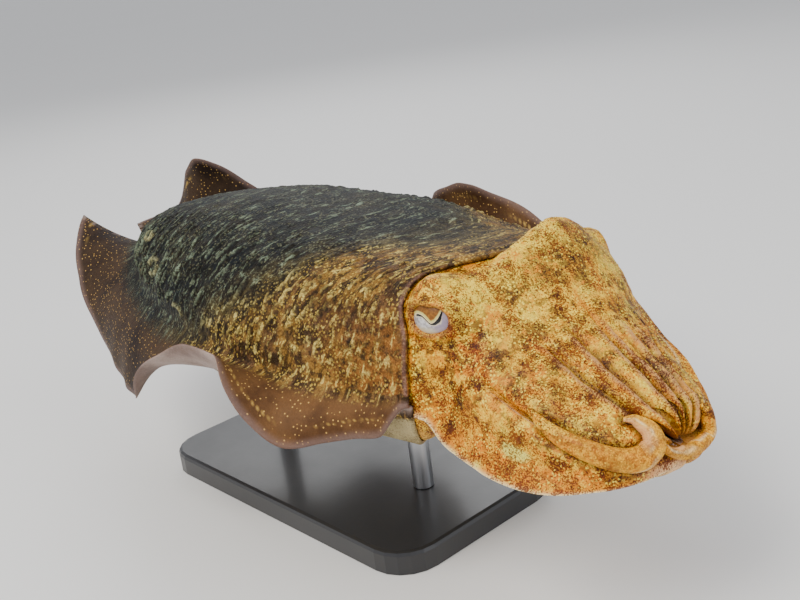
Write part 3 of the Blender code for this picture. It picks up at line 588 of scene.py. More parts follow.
def build_piece(name, parts, material, replaced=()):
    """One mesh from several closed parts in local millimetres, with their values as attributes."""
    points = np.vstack([part[0] for part in parts])
    faces, start = [], 0
    for flat, part_faces, _ in parts:
        faces += [[start + i for i in face] for face in part_faces]
        start += len(flat)
    mesh = bpy.data.meshes.new(name)
    mesh.from_pydata(points * MM + ORIGIN, [], faces)
    for key in sorted({key for _, _, values in parts for key in values}):
        sample = next(values[key] for _, _, values in parts if key in values)
        kind, field = ("FLOAT_VECTOR", "vector") if sample.ndim == 2 else ("FLOAT", "value")
        listed = [values.get(key, np.zeros((len(flat), *sample.shape[1:]))) for flat, _, values in parts]
        mesh.attributes.new(key, kind, "POINT").data.foreach_set(field, np.concatenate(listed).ravel())
    close_mesh(mesh)
    mesh.polygons.foreach_set("use_smooth", np.ones(len(mesh.polygons), bool))
    mesh.materials.append(material)
    piece = add_object(name, mesh)
    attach(piece, "root")
    if replaced:
        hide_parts(*replaced)


def close_mesh(mesh):
    """Merge points that share a place, drop faces that collapsed, and turn the faces outwards."""
    work = bmesh.new()
    work.from_mesh(mesh)
    bmesh.ops.remove_doubles(work, verts=work.verts, dist=2e-6)
    bmesh.ops.dissolve_degenerate(work, edges=work.edges, dist=1e-7)
    bmesh.ops.recalc_face_normals(work, faces=work.faces)
    work.to_mesh(mesh)
    work.free()
    mesh.update()


class Wire:
    """Output of a node. Sums, differences and products of wires lay the maths nodes for them."""

    def __init__(self, recipe, socket):
        self.recipe = recipe
        self.socket = socket

    def __add__(self, other):
        return self.recipe.maths("ADD", self, other)

    def __sub__(self, other):
        return self.recipe.maths("SUBTRACT", self, other)

    def __rsub__(self, other):
        return self.recipe.maths("SUBTRACT", other, self)

    def __mul__(self, other):
        return self.recipe.maths("MULTIPLY", self, other)


class Recipe:
    """Short ways to lay the nodes of a material or a node group."""

    def __init__(self, tree):
        self.tree = tree

    def feed(self, socket, value):
        """Link a wire to a socket, or set the socket's own value."""
        if isinstance(value, Wire):
            self.tree.links.new(value.socket, socket)
        elif socket.type == "RGBA" and len(value) == 3:
            socket.default_value = (*value, 1)
        else:
            socket.default_value = value

    def node(self, kind, inputs=None, **settings):
        """Node with its settings and inputs."""
        made = self.tree.nodes.new(kind)
        row, column = divmod(len(self.tree.nodes), NODES_IN_ROW)
        made.location = (NODE_WIDTH * column, -NODE_HEIGHT * row)
        for key, value in settings.items():
            setattr(made, key, value)
        for key, value in (inputs or {}).items():
            self.feed(made.inputs[key], value)
        return made

    def wire(self, kind, inputs=None, output=0, **settings):
        """One output of a new node."""
        return Wire(self, self.node(kind, inputs, **settings).outputs[output])

    def maths(self, operation, first, second):
        """One sum, by the name of its operation."""
        return self.wire("ShaderNodeMath", {0: first, 1: second}, operation=operation)

    def rise(self, value, low, high):
        """Smooth 0 to 1 between low and high."""
        inputs = {"Value": value, "From Min": low, "From Max": high}
        return self.wire("ShaderNodeMapRange", inputs, interpolation_type="SMOOTHSTEP")

    def blend(self, amount, first, second, kind="MIX"):
        """Two colours mixed by an amount."""
        inputs = {0: amount, 6: first, 7: second}
        return self.wire("ShaderNodeMix", inputs, 2, data_type="RGBA", blend_type=kind)

    def coats(self, colour, *layers):
        """Colours laid over one another by their amounts; a layer may name its kind of mix."""
        for amount, tone, *kind in layers:
            colour = self.blend(amount, colour, tone, *kind)
        return colour

    def noise(self, where, scale, detail=3.0, rough=0.55):
        """Cloudy noise from 0 to 1."""
        inputs = {"Vector": where, "Scale": scale, "Detail": detail, "Roughness": rough}
        return self.wire("ShaderNodeTexNoise", inputs)

    def cells(self, where, scale, randomness=1.0):
        """Distance to the nearest of scattered points."""
        inputs = {"Vector": where, "Scale": scale, "Randomness": randomness}
        return self.wire("ShaderNodeTexVoronoi", inputs, "Distance")

    def value(self, name):
        """Number stored on the mesh."""
        return self.wire("ShaderNodeAttribute", None, "Fac", attribute_name=name)

    def vector(self, name):
        """Vector stored on the mesh."""
        return self.wire("ShaderNodeAttribute", None, "Vector", attribute_name=name)

    def place(self):
        """Place on the object."""
        return self.wire("ShaderNodeTexCoord", None, "Object")

    def specks(self, where, scale, size, cover):
        """Mask of scattered specks."""
        tree = shared_group("skin_specks", {"Scale": 600.0, "Size": 0.3, "Cover": 0.6}, ("Mask",), lay_specks)
        inputs = {"Place": where, "Scale": scale, "Size": size, "Cover": cover}
        return self.wire("ShaderNodeGroup", inputs, node_tree=tree)

    def grain(self, where, scale):
        """Height and mottle of pebbled skin."""
        tree = shared_group("skin_grain", {"Scale": 1100.0}, ("Height", "Mottle"), lay_grain)
        made = self.node("ShaderNodeGroup", {"Place": where, "Scale": scale}, node_tree=tree)
        return [Wire(self, socket) for socket in made.outputs]

    def dress(self, shader, colour, rough, bump=None, **others):
        """Feed the shader its colour, roughness, bump (height, strength, distance) and its other
        sockets, with the spaces of their names written as underscores."""
        values = {"Base Color": colour, "Roughness": rough}
        values.update({key.replace("_", " "): value for key, value in others.items()})
        if bump:
            inputs = dict(zip(("Height", "Strength", "Distance"), bump))
            values["Normal"] = self.wire("ShaderNodeBump", inputs)
        for key, value in values.items():
            self.feed(shader.inputs[key], value)


def shared_group(name, numbers, outputs, lay):
    """Node group that takes a place and the named numbers. On its first use it is made, and lay turns
    its inputs into its outputs."""
    tree = bpy.data.node_groups.get(name)
    if tree:
        return tree
    tree = bpy.data.node_groups.new(name, "ShaderNodeTree")
    tree.interface.new_socket("Place", in_out="INPUT", socket_type="NodeSocketVector")
    for key, default in numbers.items():
        socket = tree.interface.new_socket(key, in_out="INPUT", socket_type="NodeSocketFloat")
        socket.default_value = default
    for key in outputs:
        tree.interface.new_socket(key, in_out="OUTPUT", socket_type="NodeSocketFloat")
    recipe = Recipe(tree)
    given = tree.nodes.new("NodeGroupInput").outputs
    out = tree.nodes.new("NodeGroupOutput").inputs
    results = lay(recipe, *(Wire(recipe, given[key]) for key in ("Place", *numbers)))
    for key, result in zip(outputs, results):
        recipe.feed(out[key], result)
    return tree


def lay_specks(r, place, scale, size, cover):
    """Scattered round specks: full where the cell distance is under the size, and only where a broader
    noise is above one less the cover."""
    near = r.cells(place, scale)
    wobble = r.noise(place, scale * 2.6, 2.0)
    dot = 1 - r.rise(near + (wobble - 0.5) * 0.5, size * 0.55, size)
    limit = 1 - cover
    return [dot * r.rise(r.noise(place, scale * 0.16, 3.0), limit, limit + 0.12)]


def lay_grain(r, place, scale):
    """Pebbled skin: cell distance and fine noise added together as a height of about 0 to 1, and fine
    and broad noise as a mottle."""
    pebble = 1 - r.cells(place, scale)
    fine = r.noise(place, scale * 1.7, 3.0, 0.6)
    broad = r.noise(place, scale * 0.12, 4.0, 0.6)
    return [pebble * 0.6 + fine * 0.5, fine * 0.55 + broad * 0.45]


def new_material(name):
    """Material with an empty tree, its recipe and its shader."""
    made = bpy.data.materials.new(name)
    made.use_nodes = True
    made.node_tree.nodes.clear()
    recipe = Recipe(made.node_tree)
    shader = recipe.node("ShaderNodeBsdfPrincipled")
    recipe.node("ShaderNodeOutputMaterial", {0: Wire(recipe, shader.outputs[0])})
    return made, recipe, shader


def wet_skin(r, shader, colour, rough, height, depth, shine=0.30, coat=0.05):
    """Shared last layer of the skins: bump, a thin wet coat and a little light let through."""
    r.dress(
        shader, colour, rough, (height, 0.8, depth), Coat_Weight=coat, Coat_Roughness=0.30,
        Specular_IOR_Level=shine, Subsurface_Weight=0.06, Subsurface_Radius=(1.0, 0.45, 0.2),
        Subsurface_Scale=0.0015,
    )


def head_material(sizes):
    """Golden skin: broad orange and golden fields, yellow and brown mottling, placed pale and dark
    marks broken up by noise, some dark ones painted shade under the curled tips, cream flecks, orange
    streaks, mauve arm borders and fine grains; painted shade in the gaps between the arms, beside the
    curled tips and in the crease, and painted shade deep inside the arm crown."""
    made, r, shader = new_material("golden_skin")
    where = r.place()
    height, mottle = r.grain(where, 1350.0)
    broken = r.noise(where, 760.0, 4.0, 0.65)
    arms, flap, band, oral = (r.value(name) for name in ("arms", "flap", "band", "oral"))
    brown = r.rise(r.noise(where, 340.0, 5.0, 0.68), 0.495, 0.575)
    clear = 1 - r.maths("MAXIMUM", arms * 0.55, flap * 0.8)
    patchy = r.rise(r.noise(where, 120.0, 4.0, 0.6), 0.36, 0.54)
    calm = 1 - r.maths("MAXIMUM", oral * 0.8, band * 0.45)
    colour = r.coats(
        sizes.golden,
        (r.rise(r.noise(where, 95.0, 4.0), 0.42, 0.58), (0.70, 0.230, 0.008)),
        (arms * 0.65, (0.82, 0.330, 0.010)),
        (flap * 0.85, (1.00, 0.45, 0.008)),
        (r.rise(r.noise(where, 290.0, 5.0, 0.68), 0.46, 0.60) * 0.85, (1.00, 0.64, 0.040)),
        (brown * 0.85 * clear, (0.170, 0.055, 0.003)),
        (r.value("pale") * r.rise(broken, 0.36, 0.54) * 0.75, (0.95, 0.70, 0.06)),
        (r.value("orange") * r.rise(broken, 0.20, 0.58), sizes.orange),
        # Dark marks: the skin's own, and painted shade under the curled tips.
        (r.value("dark") * r.rise(broken, 0.38, 0.54) * 0.85, (0.060, 0.020, 0.006)),
        (r.specks(where, 1050.0, 0.42, 0.64) * patchy * 0.9, sizes.cream),
        (r.rise(r.value("fleck"), 0.3, 0.8) * 0.55, (0.86, 0.58, 0.06)),
        (r.value("oval") * r.rise(broken, 0.25, 0.50), (0.80, 0.68, 0.12)),
        # Painted shade: dark in the gaps between the arms, beside the curled tips and in the crease by the
        # keel.
        (r.value("between") * 0.75, (0.085, 0.026, 0.010)),
        (r.value("mauve") * r.rise(broken, 0.2, 0.5), (0.50, 0.26, 0.10)),
        (band * 0.75, r.blend(r.rise(broken, 0.40, 0.60), (0.86, 0.40, 0.020), (0.50, 0.17, 0.006))),
        (r.value("lobe") * 0.85, (0.85, 0.52, 0.27)),
        (r.value("rim"), (0.95, 0.78, 0.42)),
        (oral, r.blend(band, (0.42, 0.17, 0.035), (0.80, 0.42, 0.16))),
        (r.value("lid") * 0.7, (0.34, 0.135, 0.040)),
        (r.value("belly"), (0.58, 0.34, 0.09)),
        # Painted shade deep inside the arm crown.
        (r.value("deep"), (0.060, 0.020, 0.012)),
        (r.rise(mottle, 0.47, 0.56) * 0.95 * calm, (0.20, 0.070, 0.020), "MULTIPLY"),
    )
    wet_skin(r, shader, colour, height * 0.16 + 0.44, height, 0.00035, 0.16)
    return made


def body_material(sizes):
    """Mantle and fin skin: golden sides pass through olive to a slate back by the tone value; dark
    mottling and streaks, painted shade in the grooves beside the ridges and in the rings' middles, pale
    specks, crests, lines and rings; on the fins gold dots, dashes and a lilac margin."""
    made, r, shader = new_material("mottled_skin")
    where, flow, span = r.place(), r.vector("flow"), r.vector("span")
    height, mottle = r.grain(where, 1050.0)
    tone, fin = r.value("tone"), r.rise(r.value("fin"), 0.02, 0.30)
    broken = r.noise(where, 330.0, 5.0, 0.65)
    edge = tone + (r.noise(where, 90.0, 5.0, 0.65) - 0.5) * 0.9
    streaks = r.rise(r.noise(flow, 0.40, 4.0, 0.62), 0.49, 0.58)
    lines = r.rise(r.noise(flow, 0.60, 3.0, 0.6), 0.55, 0.63)
    speck_tone = r.blend(r.rise(edge, 0.2, 0.8), (0.62, 0.42, 0.08), (0.15, 0.155, 0.090))
    crest_tone = r.blend(r.rise(edge, 0.25, 0.85), sizes.crest, (0.22, 0.28, 0.19))
    skin = r.coats(
        sizes.gold,
        (r.rise(r.noise(where, 80.0, 4.0, 0.6), 0.42, 0.60), (0.145, 0.074, 0.030)),
        (r.rise(edge, 0.05, 0.55), (0.090, 0.068, 0.026)),
        (r.rise(edge, 0.50, 1.08), r.blend(r.rise(broken, 0.42, 0.62), sizes.slate, (0.018, 0.022, 0.019))),
        (r.rise(r.noise(where, 230.0, 6.0, 0.70), 0.475, 0.57) * 0.78, (0.016, 0.012, 0.009)),
        (streaks * 0.80, r.blend(edge, (0.034, 0.019, 0.008), (0.008, 0.009, 0.009))),
        (r.value("blush") * r.rise(broken, 0.36, 0.58) * 0.7, (0.48, 0.19, 0.035)),
        (r.specks(where, 900.0, 0.40, 0.60) * (0.80 - tone * 0.10), speck_tone),
        # Painted shade in the grooves beside the ridges and in the middle of the rings.
        (r.value("groove") * 0.75, (0.014, 0.011, 0.008)),
        (r.rise(r.value("crest"), 0.22, 0.8) * r.rise(broken, 0.33, 0.58) * 0.85, crest_tone),
        (lines * r.rise(broken, 0.36, 0.58) * 0.75, crest_tone),
        (r.value("rings") * r.rise(broken, 0.34, 0.56) * 0.85, (0.50, 0.46, 0.20)),
        (r.value("trim") * 0.8, (0.25, 0.135, 0.105)),
        (r.value("belly"), r.blend(broken, (0.34, 0.27, 0.12), (0.46, 0.37, 0.20))),
        # Painted shade on the inner wall of the collar.
        (r.value("deep"), (0.045, 0.024, 0.016)),
    )
    cloudy = r.rise(r.noise(where, 55.0, 4.0, 0.6), 0.38, 0.64)
    dots = (1 - r.rise(r.cells(span, 0.76, 0.55), 0.12, 0.24)) * r.rise(r.noise(span, 0.16, 2.0), 0.12, 0.32)
    fins = r.coats(
        r.blend(cloudy, (0.050, 0.029, 0.016), (0.020, 0.012, 0.009)),
        (r.value("front") * 0.85, r.blend(cloudy, (0.170, 0.078, 0.026), (0.085, 0.036, 0.013))),
        (dots * 0.9, (0.62, 0.38, 0.11)),
        (r.value("margin") * 0.6, (0.22, 0.145, 0.125)),
        (r.value("dashes") * 0.8, (0.60, 0.38, 0.09)),
        (r.value("under"), r.blend(cloudy, (0.38, 0.29, 0.25), (0.22, 0.155, 0.13))),
    )
    grains = r.rise(mottle, 0.42, 0.57) * (0.7 - fin * 0.5)
    colour = r.coats(skin, (fin, fins), (grains, (0.28, 0.22, 0.15), "MULTIPLY"))
    wet_skin(r, shader, colour, height * 0.18 + 0.50, height * (1 - fin * 0.7), 0.00045, 0.09, 0.02)
    return made


def eye_material(sizes):
    """Eye: pupil, pale outline and skin-coloured upper flap by their masks, the flap darker towards the
    top as a painted shadow of the lid, silver with fine streaks below, under a clear glossy coat."""
    made, r, shader = new_material("eye_surface")
    where = r.place()
    streak = r.noise(where, 900.0, 3.0, 0.6)
    flap = r.value("flap")
    lid = r.blend(r.rise(r.noise(where, 1500.0, 3.0), 0.4, 0.6), (0.34, 0.135, 0.022), (0.20, 0.075, 0.014))
    colour = r.coats(
        sizes.silver,
        (r.rise(streak, 0.35, 0.65), (0.30, 0.27, 0.27)),
        (r.value("low"), (0.56, 0.47, 0.30)),
        (r.value("right") * 0.8, (0.30, 0.23, 0.31)),
        (r.value("band"), (0.58, 0.50, 0.15)),
        # Painted shadow of the lid on the upper flap.
        (flap, r.blend(r.value("shade") * 0.6, lid, (0.10, 0.045, 0.012))),
        (r.value("outline"), (0.84, 0.70, 0.42)),
        (r.value("pupil"), (0.004, 0.004, 0.004)),
    )
    r.dress(shader, colour, flap * 0.2 + 0.16, (streak, 0.25, 0.0001), Coat_Weight=0.40 - flap * 0.38,
            Coat_Roughness=0.05, Specular_IOR_Level=0.2)
    return made


def sucker_material():
    """Pale pinkish cups, darker in the mouth, with fine grain."""
    made, r, shader = new_material("sucker_skin")
    height, mottle = r.grain(r.place(), 2200.0)
    colour = r.blend(r.value("cup"), (0.70, 0.48, 0.34), (0.24, 0.12, 0.085))
    colour = r.blend(mottle * 0.3, colour, (0.5, 0.32, 0.25), "MULTIPLY")
    wet_skin(r, shader, colour, 0.35, height, 0.0001)
    return made


def funnel_material():
    """Pale cream skin with faint brown dots."""
    made, r, shader = new_material("funnel_skin_finish")
    where = r.place()
    height, _ = r.grain(where, 1200.0)
    colour = r.blend(r.specks(where, 500.0, 0.22, 0.6) * 0.6, (0.55, 0.46, 0.30), (0.20, 0.10, 0.05))
    wet_skin(r, shader, colour, 0.4, height, 0.0002)
    return made


def base_material():
    """Satin black lacquer: faint orange-peel bump and slight wear in the roughness."""
    made, r, shader = new_material("black_lacquer")
    where = r.place()
    colour = r.blend(r.noise(where, 30.0, 4.0, 0.6), (0.012, 0.012, 0.014), (0.022, 0.022, 0.024))
    rough = r.noise(where, 120.0, 5.0, 0.65) * 0.18 + 0.26
    r.dress(shader, colour, rough, (r.noise(where, 900.0, 2.0), 0.15, 0.0001), Coat_Weight=0.3,
            Coat_Roughness=0.15)
    return made


def rod_material():
    """Brushed steel: noise stretched along the height for the brushing lines."""
    made, r, shader = new_material("brushed_rod")
    stretched = r.wire("ShaderNodeMapping", {"Vector": r.place(), "Scale": (1.0, 1.0, 0.04)})
    lines = r.noise(stretched, 2600.0, 3.0, 0.6)
    colour = r.blend(lines, (0.52, 0.53, 0.55), (0.66, 0.66, 0.68))
    r.dress(shader, colour, lines * 0.2 + 0.24, (lines, 0.2, 0.00005), Metallic=1.0)
    return made


def floor_material(sizes):
    """Plain pale floor with a barely seen unevenness."""
    made, r, shader = new_material("pale_floor")
    soft = r.noise(r.place(), 3.0, 3.0)
    darker = [0.9 * channel for channel in sizes.floor_tone]
    r.dress(shader, r.blend(soft * 0.12, sizes.floor_tone, darker), soft * 0.1 + 0.6)
    return made


def ridge_field(s, angle, sizes):
    """Heights of the raised ridges, 0 to about 1, the grooves beside them and the rings. Rows of long
    bumps run up and down the side: each is a bell across and a flat-topped window along, with a dip on
    both sides; shorter ones lie on the back, and there are a few open rings."""
    rng = np.random.default_rng(sizes.seed)
    _, half, back, _ = mantle_sizes(s)
    along = s * MANTLE_LENGTH
    rows_at = along[:, 0]
    radius = (half + back) / 2 + 1e-6
    height, groove, rings = np.zeros((3, *np.broadcast(s, angle).shape))
    for side in (-1, 1):
        gap = (angle - math.pi / 2) * -side
        for row in np.arange(30.0, 212.0, sizes.ridge_spacing / MM):
            place = rng.uniform(14, 30)
            while place < 90:
                share = step(place, 18, 45)
                length = rng.uniform(4.0, 7.5) + rng.uniform(0, 9.0) * share
                middle = np.radians(place) + length / 2 / RIDGE_RADIUS
                x0 = row + rng.normal(0, 1.5)
                width = rng.uniform(0.50, 0.85) * (0.75 + 0.25 * share)
                tall = rng.uniform(0.4, 1.0) * (0.30 + 0.70 * share)
                tilt, bow = rng.normal(-0.32, 0.15), rng.normal(0, 0.03)
                rows = np.abs(rows_at - x0) < 9
                x = along[rows] - x0
                y = (gap[rows] - middle) * radius[rows]
                across = x - tilt * y - bow * y * y
                window = tall * np.clip(1 - np.abs(y / (length / 2)) ** 3, 0, 1)
                height[rows] = np.maximum(height[rows], bell(across, width) * window)
                dip = bell(np.abs(across) - 1.9 * width, 0.75 * width) * window
                groove[rows] = np.maximum(groove[rows], dip)
                place += np.degrees(length / RIDGE_RADIUS) + rng.uniform(0.5, 5)
    for t, degrees, size, opening in RING_MARKS:
        x = (along - t * MANTLE_LENGTH) / RING_STRETCH
        y = (angle - math.radians(degrees)) * radius
        ring = bell(np.hypot(x, y) - size * 0.6, 0.6) * step(np.cos(np.arctan2(y, x) - opening), -1.0, -0.7)
        height = np.maximum(height, 0.85 * ring)
        rings = np.maximum(rings, ring)
        groove = np.maximum(groove, 0.8 * bell(np.hypot(x, y), size * 0.3))
    return height, groove * (1 - np.clip(1.6 * height, 0, 1)), rings


def bump_field(first, second, rows_at, bumps, seed):
    """Small round bumps: bells at random places on two surface coordinates in millimetres. Rows_at
    gives the first coordinate of each row, so that a bump works out only the rows near it."""
    rng = np.random.default_rng(seed)
    height = np.zeros(first.shape)
    count, mean_size, (low, high, left, right) = bumps
    for _ in range(count):
        x0 = rng.uniform(low, high)
        y0 = rng.uniform(left, right)
        size = mean_size * rng.uniform(0.6, 1.35)
        rows = np.abs(rows_at - x0) < 3 * size
        if not rows.any():
            continue
        distance = np.hypot(first[rows] - x0, second[rows] - y0)
        height[rows] = np.maximum(height[rows], rng.uniform(0.5, 1.0) * bell(distance, size))
    return height


def body_loops(sizes, s):
    """A loop of points and values for each s: over the back, out and in along the right fin, under
    the belly, out and in along the left fin. Also the angles of the columns over the back."""
    exponent, _, back, belly = mantle_sizes(s)
    over, below = (
        np.arcsin(np.clip((ROOT_HALF / np.maximum(depth, 1e-6)) ** (1 / exponent), 0, 0.8))
        for depth in (back, belly)
    )
    top = over + (math.pi - 2 * over) * np.linspace(0, 1, sizes.back_columns)[None, :]
    bottom = math.pi + below + (math.pi - 2 * below) * np.linspace(0, 1, BELLY_COLUMNS)[None, :]
    v = (np.linspace(0.03, 1, FIN_COLUMNS) ** 0.95)[None, :]
    ones = np.ones_like(s * v)
    thick = (FIN_ROOT_THICK + (FIN_EDGE_THICK - FIN_ROOT_THICK) * v ** 0.8) * (1 - 0.6 * step(v, 0.9, 1))
    thick = thick * step(s, -0.004, 0.016) * np.where(s == 0, 0, 1)
    blocks = []
    for side, shape, trunk in ((-1, FIN_RIGHT, top), (1, FIN_LEFT, bottom)):
        none = 0 * trunk
        blocks.append((mantle_point(s, trunk), none, none, 20 + none, np.zeros(trunk.shape + (3,))))
        middle, normal, chord = fin_points(side, shape, s, v)
        ruffle = 0.45 * np.sin(s * 55 + side) * v ** 3 * step(s, 0.1, 0.3) * (1 - step(s, 0.93, 1))
        middle = middle + normal * ruffle[..., None]
        inside = middle[:, FIN_COLUMNS // 2]
        run = np.cumsum(np.linalg.norm(np.diff(inside, axis=0, prepend=inside[:1]), axis=-1))
        span = np.stack([run[:, None] * ones, chord, np.zeros_like(chord)], -1)
        upper, lower = (middle + normal * (share * thick / 2)[..., None] for share in (1, -1))
        rest = chord * (1 / v - 1)
        # The right fin is met on its upper face first, the left fin on its lower face.
        faces = [(upper, v * ones, 0 * ones, rest, span), (lower, v * ones, ones, rest, span)][::-side]
        blocks += [faces[0], tuple(field[:, ::-1] for field in faces[1])]
    grid, *fields = (np.concatenate(columns, axis=1) for columns in zip(*blocks))
    return grid, dict(zip(("fin", "under", "edge", "span"), fields)), top


def body_surface(sizes):
    """Mantle and both fins as one closed grid of loops. The corners at the fin roots are rounded by
    averaging neighbours, the skin's relief is raised along the normals, and the collar rolls in."""
    s = np.concatenate([[0.0, 0.004, 0.008], np.linspace(0.012, 1.0, sizes.rows)])[:, None]
    place = s * MANTLE_LENGTH
    grid, values, top = body_loops(sizes, s)
    tops, total = sizes.back_columns, grid.shape[1]
    belly_from = tops + 2 * FIN_COLUMNS
    belly_to = belly_from + BELLY_COLUMNS
    column = np.arange(total)
    on_top = column < tops
    corners = np.array([0, tops, belly_from, belly_to]) - 0.5
    away = np.min(np.abs((column[:, None] - corners + total / 2) % total - total / 2), axis=1)
    soft = bell(away, 4.5)[None, :, None]
    for _ in range(16):
        mean = (np.roll(grid, 1, 1) + np.roll(grid, -1, 1)) / 2
        grid = grid + 0.7 * soft * (mean - grid) * (s > 0)[..., None]
    normals = surface_normals(grid, np.array([-60.0, 0, 5]))

    _, half, back, _ = mantle_sizes(s)
    radius = (half + back) / 2
    bumps = bump_field(place + 0 * top, (top - math.pi / 2) * radius, place[:, 0], BACK_BUMPS,
                       sizes.seed + 3)
    angle, bumps, ridge, groove, rings = (
        np.hstack([field, np.zeros((len(s), total - tops))])
        for field in (top, bumps, *ridge_field(s, top, sizes))
    )
    fade = step(s, 0.06, 0.16) * (1 - 0.8 * step(s, 0.96, 0.99)) * (on_top * step(away, 4, 14))
    lumpy = 0.55 * cloud(grid, 9.0, 5) + 0.25 * cloud(grid, 3.6, 6)
    lift = fade * (ridge * sizes.ridge_height / MM + 0.34 * bumps - 0.5 * groove) + 0.6 * lumpy * fade
    lift = lift + 0.45 * bell((s - 0.988) * MANTLE_LENGTH, 1.0) * on_top
    lift = lift - 0.3 * bell((s - 0.972) * MANTLE_LENGTH, 1.0) * on_top
    grid, added = roll_collar(grid + normals * lift[..., None])

    around = np.abs(angle - math.pi / 2) * radius
    above = 90 - np.abs(np.degrees(angle) - 90)
    lined = step(np.abs(np.cos(angle)), 0.35, 0.8) * on_top
    edge, span = values.pop("edge"), values["span"]
    dashed = bell(edge - 5.2, 0.21) * (values["under"] < 0.5)
    dashed = dashed * step(np.sin(span[..., 0] * 3.1), -0.1, 0.3) * step(cloud(span, 17.0, 9), -0.35, 0.0)
    values.update({
        "crest": np.clip(fade * np.maximum(ridge, 0.55 * bumps), 0, 1),
        # Painted shade in the grooves; the same field also lowers the skin there.
        "groove": fade * groove,
        "rings": fade * rings,
        "tone": step(above - table(s, *SLATE_BORDER), -28, 32),
        "front": step(s, 0.42, 0.90) + 0 * angle,
        "flow": np.stack([place + 0.30 * around, 0.34 * around, 0 * around], -1),
        "blush": step(s, 0.82, 0.98) * (1 - step(above, 8, 50)) * on_top,
        "belly": np.ones_like(s) * ((column >= belly_from) & (column < belly_to)),
        "dashes": dashed,
        "margin": (1 - step(edge, 0.4, 3.2)) * (values["fin"] > 0.1),
        "trim": bell(MANTLE_LENGTH - place - 0.1, 0.45) * lined,
        "deep": 0 * angle,
    })
    values = {key: np.concatenate([field] + [field[-1:]] * added) for key, field in values.items()}
    values["trim"][-added:] = (np.arange(added) < 2)[:, None] * lined[-1:]
    # Painted shade on the inner wall of the collar, past the rim.
    values["deep"][-added:] = np.linspace(0, 1, added)[:, None] > 0.6
    return shell(grid, values, cap_last=np.array([[-4.5, 0, 8.0]]))


def roll_collar(grid):
    """Rows added past the rim: a half circle as thick as the lip, then a wall going back inside."""
    rim = grid[-1]
    inward = np.array([0.0, 0.0, RING_HEIGHT]) - rim
    inward[:, 0] = 0
    inward = unit(inward)
    ahead = np.array([1.0, 0.0, 0.0])
    rows = []
    for turn in np.linspace(0, math.pi, 8)[1:]:
        rows.append(rim + inward * LIP / 2 * (1 - math.cos(turn)) + ahead * LIP / 2 * math.sin(turn))
    for share in (0.12, 0.35, 0.65, 1.0):
        rows.append(rim + inward * LIP - ahead * (rim[:, :1] + 4.0) * share)
    return np.concatenate([grid, np.array(rows)]), len(rows)


def inner_share(u):
    """Share of the core section at which the arms' inner faces lie: smaller towards the tips."""
    return 0.52 - 0.27 * step(u, 0.72, 0.88) - 0.15 * step(u, 0.84, 0.93)


def head_grid(sizes):
    """Places of the head's grid: rows run out along the crown to each arm's own reach, round the tip
    in a half circle, and back along the inner faces. Columns stand closer at the eyes and keels."""

    def across(a):
        """How close the columns stand at an angle in degrees."""
        eyes = sum(bell(a - degrees, 15) for degrees in EYE_DEGREES)
        keels = sum(bell(a - degrees, 8) for degrees in KEEL_DEGREES)
        return 0.75 + 1.0 * eyes + 1.3 * keels + 0.5 * bell(a - 95, 30)

    def along(x):
        """How close the rows stand along the crown."""
        return 1 + 0.9 * bell(x - 0.21, 0.08) + 0.35 * step(x, 0.7, 0.95)

    angle = np.radians(spread(across, -90, 270, sizes.columns + 1)[:-1])[None, :]
    out = spread(along, 0, 1, sizes.rows)[:, None]
    index, share, _ = arm_place(np.full_like(angle, 0.9), angle)
    soft = np.array(ARM_REACH)[index] - 0.055 * np.abs(2 * share - 1) ** 5
    for _ in range(3):
        soft = (np.roll(soft, 1, 1) + 2 * soft + np.roll(soft, -1, 1)) / 4
    turn = np.linspace(0, math.pi, 16)[1:-1, None]
    back = np.linspace(0, 1, 34)[:, None]
    u = np.concatenate([
        out * (soft - NOSE),
        soft - NOSE + NOSE * np.sin(turn),
        soft - NOSE + (0.50 - soft + NOSE) * back,
    ])
    fold = np.concatenate([0 * out, (1 - np.cos(turn)) / 2, 1 + 0 * back]) + 0 * angle
    return u, angle + 0 * u, fold


def mark_field(u, angle, reach, marks, mirrored=False):
    """Soft round marks: one less the product of one less each bell, by distance on the skin in mm.
    Mirrored adds the right side's marks to the left side."""
    left = np.ones(u.shape)
    if mirrored:
        marks += tuple((a + 0.015, 182 - b, c * 1.05) for a, b, c in marks if b > 118)
    for place, degrees, size in marks:
        away = np.hypot((u - place) * HEAD_LENGTH, angle_gap(angle, math.radians(degrees)) * reach)
        left = left * (1 - bell(away, size))
    return 1 - left


